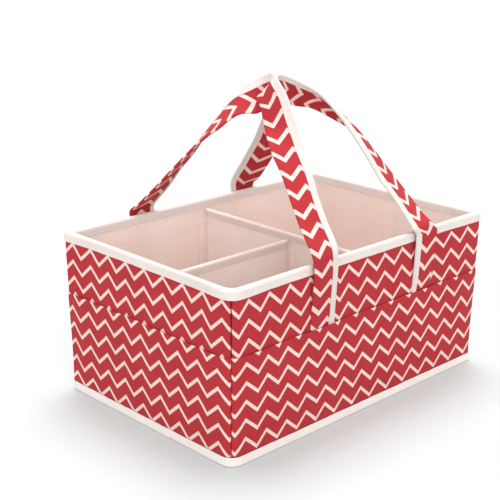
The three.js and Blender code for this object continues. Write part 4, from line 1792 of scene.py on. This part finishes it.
@dataclass
class StrapHandle:
    """A strap handle: a folded cover with tape over its open edge, looped like a ribbon.

    Attributes:
        name: The handle's and its body's name.
        plan: The sizes that both handles share.
        shares: The loop's places: the bound edge across, out and up, as shares of half the
            legs' gap, of their plane and of the rise, then the direction to the folded edge.
        turned: Whether the handle is turned half round, to the back wall.
        tips: Where a tip of the print lies along the outer and the inner face.
        outer_print: How the print runs along the outer face.
        inner_print: How it runs along the inner face.
        pitch: From one row of the print to the next.
        legs: The legs that the strap starts and ends on.
        tape_widths: How far the tape reaches over the outer face at the start and the end.
        loop_width: The loop's width.
        curls: The section's turn in degrees at the places that have one, by their number.
        tail_steps: How many steps a sewn leg has.
        tail_crowding: The power that draws them together near the hinge line.
        pressed_share: The share of the leg's lean over which it gains its thickness.
        loop_steps: How many steps lie between two of the loop's places.
        round_steps: How many steps a folded edge has.
        hinge_reach: How far over and under the hinge line a bend would reach; no bend is made.
        sway: How the strap strays out of its plane.
        play: Between the cover and the tape.
        pinch_from: How far from the bound edge the tape's seam holds the strap in full.
        taper_reach: How far on both sides of the strap's middle the tape's width changes.
        waver: How the tape's edges waver.
        waver_reach: How far from them that is felt.
        seam_in: From the tape's edge to its stitches.
        core_steps: How many steps the padding has across it.
        period: Length of one zigzag of the print.
        swing: From the zigzags' tips to their valleys.
        stroke: Width of the light line along the strap.
    """

    name: str
    plan: HandlePlan
    shares: Sequence[tuple[float, ...]]
    turned: bool
    tips: Pair
    outer_print: Sequence[PrintKnot]
    inner_print: Sequence[PrintKnot]
    pitch: float
    legs: tuple[LegShape, LegShape] = (STRAIGHT_LEG, STRAIGHT_LEG)
    tape_widths: Pair = (0.009, 0.009)
    loop_width: float = 0.035
    curls: Mapping[int, float] = field(default_factory=dict)
    tail_steps: int = 26
    tail_crowding: float = 1.5
    pressed_share: float = 0.3
    loop_steps: int = 9
    round_steps: int = 8
    hinge_reach: float = 0.005
    sway: Waves = Waves(0.0004, 0.05, 0.03)
    play: float = 0.00015
    pinch_from: float = 0.002
    taper_reach: float = 0.04
    waver: Waves = Waves(0.0003, 0.025, seed=130)
    waver_reach: float = 0.005
    seam_in: float = 0.0014
    core_steps: int = 8
    period: float = 0.0275
    swing: float = 0.0112
    stroke: float = 0.0054

    def _leg(self, sign: int) -> list[tuple[Vector, Vector, float]]:
        """The sewn leg below the hinge line, from the tail up.

        Args:
            sign: -1 for the leg that the strap starts on and 1 for the other.

        Returns:
            The bound edge, the folded edge and the fullness at each step.
        """
        plan = self.plan
        rise = plan.hinge_height - plan.tail_bottom
        end = 0 if sign < 0 else -1
        shape = self.legs[end]
        hinge_edge = abs(self.shares[end][0]) * plan.leg_gap / 2
        places = []
        for index in range(self.tail_steps):
            up = 1 - (1 - index / self.tail_steps) ** self.tail_crowding
            height = plan.tail_bottom + rise * up
            lean = (height - plan.pressed_top) / (plan.full_from - plan.pressed_top)
            lean = min(max(lean, 0.0), 1.0)
            out = plan.tail_plane + (plan.plane - plan.tail_plane) * lean
            edge = Vector((sign * (hinge_edge + shape.slant * (1 - up)), -out, height))
            width = shape.bottom + (shape.top - shape.bottom) * up
            fullness = ease(lean, 0.0, self.pressed_share)
            places.append((edge, edge + Vector((sign * width, 0, 0)), fullness))
        return places

    @functools.cached_property
    def frames(self) -> list[StrapFrame]:
        """The strap's places from tail to tail, with their directions and the length so far."""
        plan = self.plan
        edge_points = []
        fold_points = []
        last_row = len(self.shares) - 1
        for index, (across, out, up, *direction) in enumerate(self.shares):
            height = plan.hinge_height + up * plan.rise
            edge = Vector((across * plan.leg_gap / 2, -out * plan.plane, height))
            edge_points.append(edge)
            width = {0: self.legs[0].top, last_row: self.legs[1].top}.get(index, self.loop_width)
            fold_points.append(edge + Vector(direction).normalized() * width)
        lines = (smooth_path(points, self.loop_steps) for points in (edge_points, fold_points))
        loop = [(edge, fold, 1.0) for edge, fold in zip(*lines)]
        places = [*self._leg(-1), *loop, *reversed(self._leg(1))]
        half_turn = Matrix.Rotation(math.pi if self.turned else 0, 3, "Z")
        shift = Vector((-plan.offset if self.turned else plan.offset, 0, 0))
        edges = [half_turn @ edge + shift for edge, _, _ in places]
        folds = [half_turn @ fold + shift for _, fold, _ in places]
        middles = [(edge + fold) / 2 for edge, fold in zip(edges, folds)]
        frames = []
        travelled = 0.0
        last = len(places) - 1
        loop_start = (len(places) - len(loop)) // 2
        for index, (edge, fold) in enumerate(zip(edges, folds)):
            if index:
                travelled += (middles[index] - middles[index - 1]).length
            row, step = divmod(index - loop_start, self.loop_steps)
            low, high = self.curls.get(row, 0.0), self.curls.get(row + 1, 0.0)
            curl = math.radians(low + (high - low) * step / self.loop_steps)
            along = middles[min(index + 1, last)] - middles[max(index - 1, 0)]
            across = (fold - edge).normalized()
            face = along.cross(across).normalized()
            width = (fold - edge).length
            frames.append(StrapFrame(edge, across, face, width, curl, places[index][2], travelled))
        return frames

    def _at(self, share: float) -> StrapFrame:
        """The frame at a share of the steps."""
        return self.frames[round(share * (len(self.frames) - 1))]

    def _point(self, here: StrapFrame, from_edge: float, through: float) -> Vector:
        """A place in the strap's section.

        Args:
            here: The frame.
            from_edge: Distance from the bound edge, on a strap of the plan's width.
            through: Distance out of the middle, on the outer face's side.

        Returns:
            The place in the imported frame.
        """
        through += self.sway.at(len(self.name), here.travelled, from_edge) * here.fullness
        share = from_edge / self.plan.width
        if not here.curl:
            return here.edge + here.across * (here.width * share) + here.face * through
        radius = here.width / here.curl
        start = here.curl / 2
        angle = here.curl * (0.5 - share)
        sideways = radius * (math.sin(start) - math.sin(angle)) - through * math.sin(angle)
        out = radius * (math.cos(angle) - math.cos(start)) + through * math.cos(angle)
        return here.edge + here.across * sideways + here.face * out

    def _bend_with_loop(self, piece: Piece) -> None:
        """Bakes a piece's transform into its mesh."""
        y = self.plan.plane if self.turned else -self.plan.plane
        low = (0, y, self.plan.hinge_height - self.hinge_reach)
        high = (0, y, self.plan.hinge_height + self.hinge_reach)
        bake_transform(piece)

    def _half(self, here: StrapFrame, from_edge: float) -> float:
        """Half the cover's thickness, which the tape's seam holds down near the bound edge."""
        plan = self.plan
        half = plan.tail_half + (plan.cover_half - plan.tail_half) * here.fullness
        held = 1 - ease(from_edge, self.pinch_from, plan.tape_width)
        return half * (1 - plan.pinch * held * here.fullness)

    def _tape_share(self, here: StrapFrame, through: float) -> float:
        """The tape's reach as a share of the widest one.

        Args:
            here: The frame.
            through: -1 on the inner face and 1 on the outer one.

        Returns:
            The share.
        """
        start, end = self.tape_widths
        middle = self.frames[-1].travelled / 2
        reach = self.taper_reach
        outer = start + (end - start) * ease(here.travelled, middle - reach, middle + reach)
        outer /= self.plan.tape_width
        inner = self.plan.inner_tape_share
        return inner + (outer - inner) * (through + 1) / 2

    def make(self) -> None:
        """Makes the cover, the padding in it, its tape and the tape's stitches."""
        self._make_cover()
        self._make_core()
        self._make_tape()

    def _make_core(self) -> None:
        """Makes the padding, which lies in the loop only."""
        plan = self.plan
        loop = [here for here in self.frames if here.edge.z >= plan.hinge_height]
        begin = plan.width - plan.cover_half - plan.core_width

        def place(share: float, up: float) -> Vector:
            """The point's place."""
            here = loop[round(share * (len(loop) - 1))]
            return self._point(here, begin + plan.core_width * up, plan.core / 2)

        def printed(share: float, up: float, _: float) -> Pair:
            """The point's place on the flat padding."""
            return loop[round(share * (len(loop) - 1))].travelled, plan.core_width * up

        columns = len(loop) - 1
        piece = Bench.cloth(f"{self.name}_padding", columns, self.core_steps, place, printed)
        Bench.thicken(piece, plan.core)
        dress(piece, CORE, [f"{self.name}_core"])
        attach(piece, self.name)

    def _make_cover(self) -> None:
        """Makes the printed cover, which is folded at one edge and open under the tape."""
        plan = self.plan
        open_edge = plan.tape + 2 * self.play
        fold = plan.width - plan.cover_half
        outline = Outline(open_edge, 1).line(fold, 1, 2 * self.round_steps)
        outline.round_over(plan.cover_half, self.round_steps)
        outline.line(open_edge, -1, 2 * self.round_steps).line(open_edge, 1)

        def place(share: float, up: float) -> Vector:
            """The point's place."""
            here = self._at(share)
            from_edge, through, _ = outline.at(up)
            return self._point(here, from_edge, through * self._half(here, from_edge))

        def printed(share: float, up: float, middle: float) -> Pair:
            """The point's place on the flat cloth, each face with its own lie."""
            travelled = self._at(share).travelled
            outer = middle < 0.5
            tip, creep = print_at(self.outer_print if outer else self.inner_print, travelled)
            across = plan.width - outline.at(up)[0] - tip
            return across, travelled - self.tips[0 if outer else 1] - creep

        columns = len(self.frames) - 1
        piece = Bench.cloth(f"{self.name}_strap", columns, outline.rows, place, printed)
        Bench.weld(piece)
        peak_at, row_at = self.period / 2, self.swing + self.stroke / 2
        sizes = (peak_at, row_at, self.period, self.pitch, self.swing, self.stroke)
        finish = ChevronPrint(f"chevron_{self.name}", *sizes)
        nodes = [f"{self.name}_cover", f"{self.name}_left_tab", f"{self.name}_right_tab"]
        dress(piece, finish, nodes)
        self._bend_with_loop(piece)

    def _make_tape(self) -> None:
        """Makes the tape over the open edge and sews it down on both faces."""
        plan = self.plan
        bend = plan.cover_half * plan.pinch + self.play + plan.tape
        outline = Outline(plan.tape_width, -1).line(bend, -1, self.round_steps)
        outline.round_over(-bend, self.round_steps)
        outline.line(plan.tape_width, 1, self.round_steps)

        def half(here: StrapFrame, from_edge: float) -> float:
            """Half the thickness over the tape."""
            return self._half(here, from_edge) + self.play + plan.tape

        def place(share: float, up: float) -> Vector:
            """The point's place: the tape's inner edge wavers a little."""
            here = self._at(share)
            from_edge, through, _ = outline.at(up)
            near = ease(from_edge, plan.tape_width - self.waver_reach, plan.tape_width)
            waver = self.waver.at(through, here.travelled) * near
            past_bend = max(from_edge - bend, 0.0) * self._tape_share(here, through)
            from_edge = past_bend + min(from_edge, bend)
            return self._point(here, from_edge + waver, through * half(here, from_edge))

        def printed(share: float, up: float, _: float) -> Pair:
            """The point's place on the flat tape."""
            return self._at(share).travelled, outline.at(up)[2]

        columns = len(self.frames) - 1
        piece = Bench.cloth(f"{self.name}_tape", columns, outline.rows, place, printed)
        Bench.thicken(piece, plan.tape)
        nodes = [f"{self.name}{part}_binding" for part in ("", "_left_tab", "_right_tab")]
        # The strap's tape takes the copy of the cream tape painted darker.
        dress(piece, STRAP_TAPE_PAINTED_DARKER, nodes)
        self._bend_with_loop(piece)

        def sewn(here: StrapFrame, sign: int) -> tuple[Vector, Vector]:
            """A place on the tape's seam, and the way out of the strap there."""
            from_edge = plan.tape_width * self._tape_share(here, sign) - self.seam_in
            return self._point(here, from_edge, sign * half(here, from_edge)), here.face * sign

        paths = [[sewn(here, sign) for here in self.frames] for sign in (-1, 1)]
        self._bend_with_loop(Stitching().sew(self.name, paths))


def finish_packed_parts() -> None:
    """Finishes the boards and the fastener strips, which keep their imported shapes."""
    for name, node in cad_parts.items():
        if not node.hide_render:
            node.data.materials.clear()
            node.data.materials.append(material_of(BOARD if "board" in name else FASTENER))
            LOG.info("%s: kept as packed", name)


@dataclass(frozen=True)
class Lamp:
    """One soft light from far away.

    Attributes:
        name: Its name.
        strength: Its strength.
        spread: The angle that it fills, in degrees.
        comes_from: The direction that it comes from.
    """

    name: str
    strength: float
    spread: float
    comes_from: tuple[float, float, float]

    def hang(self) -> None:
        """Adds the light."""
        lamp = bpy.data.lights.new(self.name, "SUN")
        lamp.energy = self.strength
        lamp.angle = math.radians(self.spread)
        light = bpy.data.objects.new(self.name, lamp)
        light.rotation_euler = Vector(self.comes_from).to_track_quat("Z", "Y").to_euler()
        bpy.context.scene.collection.objects.link(light)


@dataclass
class Studio:
    """The camera, the pale floor and soft light from above.

    Attributes:
        camera_at: The camera's place.
        azimuth: Its heading, in degrees.
        elevation: How far it stands over the horizon, in degrees.
        roll: How far it is turned about its own line of sight, in degrees.
        lens: Its focal length in millimetres, on a 36 mm sensor.
        shift: Its lens shift, as shares of the picture's width.
        floor_half: Half the floor's side.
        sky: Strength of the light from all round.
        key: The light from above.
        fill: The light from the camera's side.
        paper: The floor's colour where it is darkest and lightest.
    """

    camera_at: tuple[float, float, float] = (-0.83856, -0.82046, 0.52661)
    azimuth: float = -44.125
    elevation: float = 18.007
    roll: float = 0.283
    lens: float = 81.62
    shift: Pair = (-0.001, 0.001)
    floor_half: float = 8.0
    sky: float = 0.88
    key: Lamp = Lamp("key", 2.9, 40.0, (0.2, 0.2, 1.0))
    fill: Lamp = Lamp("fill", 1.5, 50.0, (-0.68, -0.76, 0.46))
    paper: tuple[Colour, Colour] = ((0.52, 0.545, 0.545), (0.53, 0.555, 0.555))

    def make(self) -> None:
        """Sets up the camera, the light and the floor."""
        self._camera()
        self._light()
        self._floor()

    def _camera(self) -> None:
        """Places the camera at the picture's viewpoint."""
        heading = math.radians(self.azimuth)
        raised = math.radians(self.elevation)
        roll = math.radians(self.roll)
        back = Vector((
            math.sin(heading) * math.cos(raised),
            -math.cos(heading) * math.cos(raised),
            math.sin(raised),
        ))
        level = Vector((math.cos(heading), math.sin(heading), 0))
        upright = back.cross(level)
        right = level * math.cos(roll) + upright * math.sin(roll)
        up = upright * math.cos(roll) - level * math.sin(roll)
        camera = bpy.data.objects.new("camera", bpy.data.cameras.new("camera"))
        camera.data.lens = self.lens
        camera.data.shift_x, camera.data.shift_y = self.shift
        turned = Matrix((right, up, back)).transposed().to_4x4()
        camera.matrix_world = Matrix.Translation(self.camera_at) @ turned
        bpy.context.scene.collection.objects.link(camera)
        bpy.context.scene.camera = camera

    def _light(self) -> None:
        """Lights the object from all round, from above and from the camera's side."""
        scene = bpy.context.scene
        scene.view_settings.view_transform = "Standard"
        world = bpy.data.worlds.new("studio")
        world.use_nodes = True
        background = world.node_tree.nodes["Background"]
        background.inputs["Color"].default_value = (1, 1, 1, 1)
        background.inputs["Strength"].default_value = self.sky
        scene.world = world
        self.key.hang()
        self.fill.hang()

    def _floor(self) -> None:
        """Lays the floor, whose faint unevenness is a paper backdrop's."""
        bpy.ops.object.select_all(action="DESELECT")
        size = 2 * self.floor_half
        bpy.ops.mesh.primitive_grid_add(x_subdivisions=8, y_subdivisions=8, size=size)
        floor = bpy.context.object
        floor.name = "studio_floor"
        graph = Graph("studio_paper")
        tone = graph.noise(graph.solid(), 0.2)
        graph.shade(base_color=graph.mix(tone, *self.paper), roughness=0.9, specular_ior_level=0.1)
        floor.data.materials.append(graph.material)


def main() -> None:
    """Builds the studio, then the body's layers, the dividers and the handles."""
    Studio().make()
    body = BodyPlan.read()
    plan = HandlePlan.read(body)
    cross_x = sum(corner.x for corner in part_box("front_wall_loop_strip")) / 2
    long_y = sum(corner.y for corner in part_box("left_wall_loop_strip")) / 2
    fold_y = -0.009
    SewnWall(body, Side.FRONT, plan.leg_spans(), fastener_at=cross_x).make()
    SewnWall(body, Side.RIGHT, crease_at=fold_y).make()
    SewnWall(body, Side.BACK, plan.leg_spans(), fastener_at=-cross_x).make()
    SewnWall(body, Side.LEFT, fastener_at=-long_y, crease_at=-fold_y).make()
    BaseShell(body).make()
    EdgeTape.round_rim(body).make()
    EdgeTape.round_foot(body).make()
    Divider("cross_divider", along_y=True).make()
    Divider("long_divider", along_y=False).make()
    StrapHandle(
        "front_handle",
        plan,
        FRONT_LOOP_SHARES,
        turned=False,
        tips=(0.0245, 0.3206),
        outer_print=FRONT_OUTER_PRINT,
        inner_print=(PrintKnot(0.32, 0.0053, 0.0),),
        pitch=0.01975,
        legs=(LegShape(-0.0021, 0.033, 0.034), LegShape(0.002, 0.0345, 0.0295)),
        tape_widths=(0.009, 0.0065),
        loop_width=0.0338,
        curls=FRONT_CURLS,
    ).make()
    StrapHandle(
        "back_handle",
        plan,
        BACK_LOOP_SHARES,
        turned=True,
        tips=(0.3085, 0.081),
        outer_print=(PrintKnot(0.31, 0.0125, 0.0),),
        inner_print=BACK_INNER_PRINT,
        pitch=0.0206,
    ).make()
    finish_packed_parts()


if __name__ == "__main__":
    main()
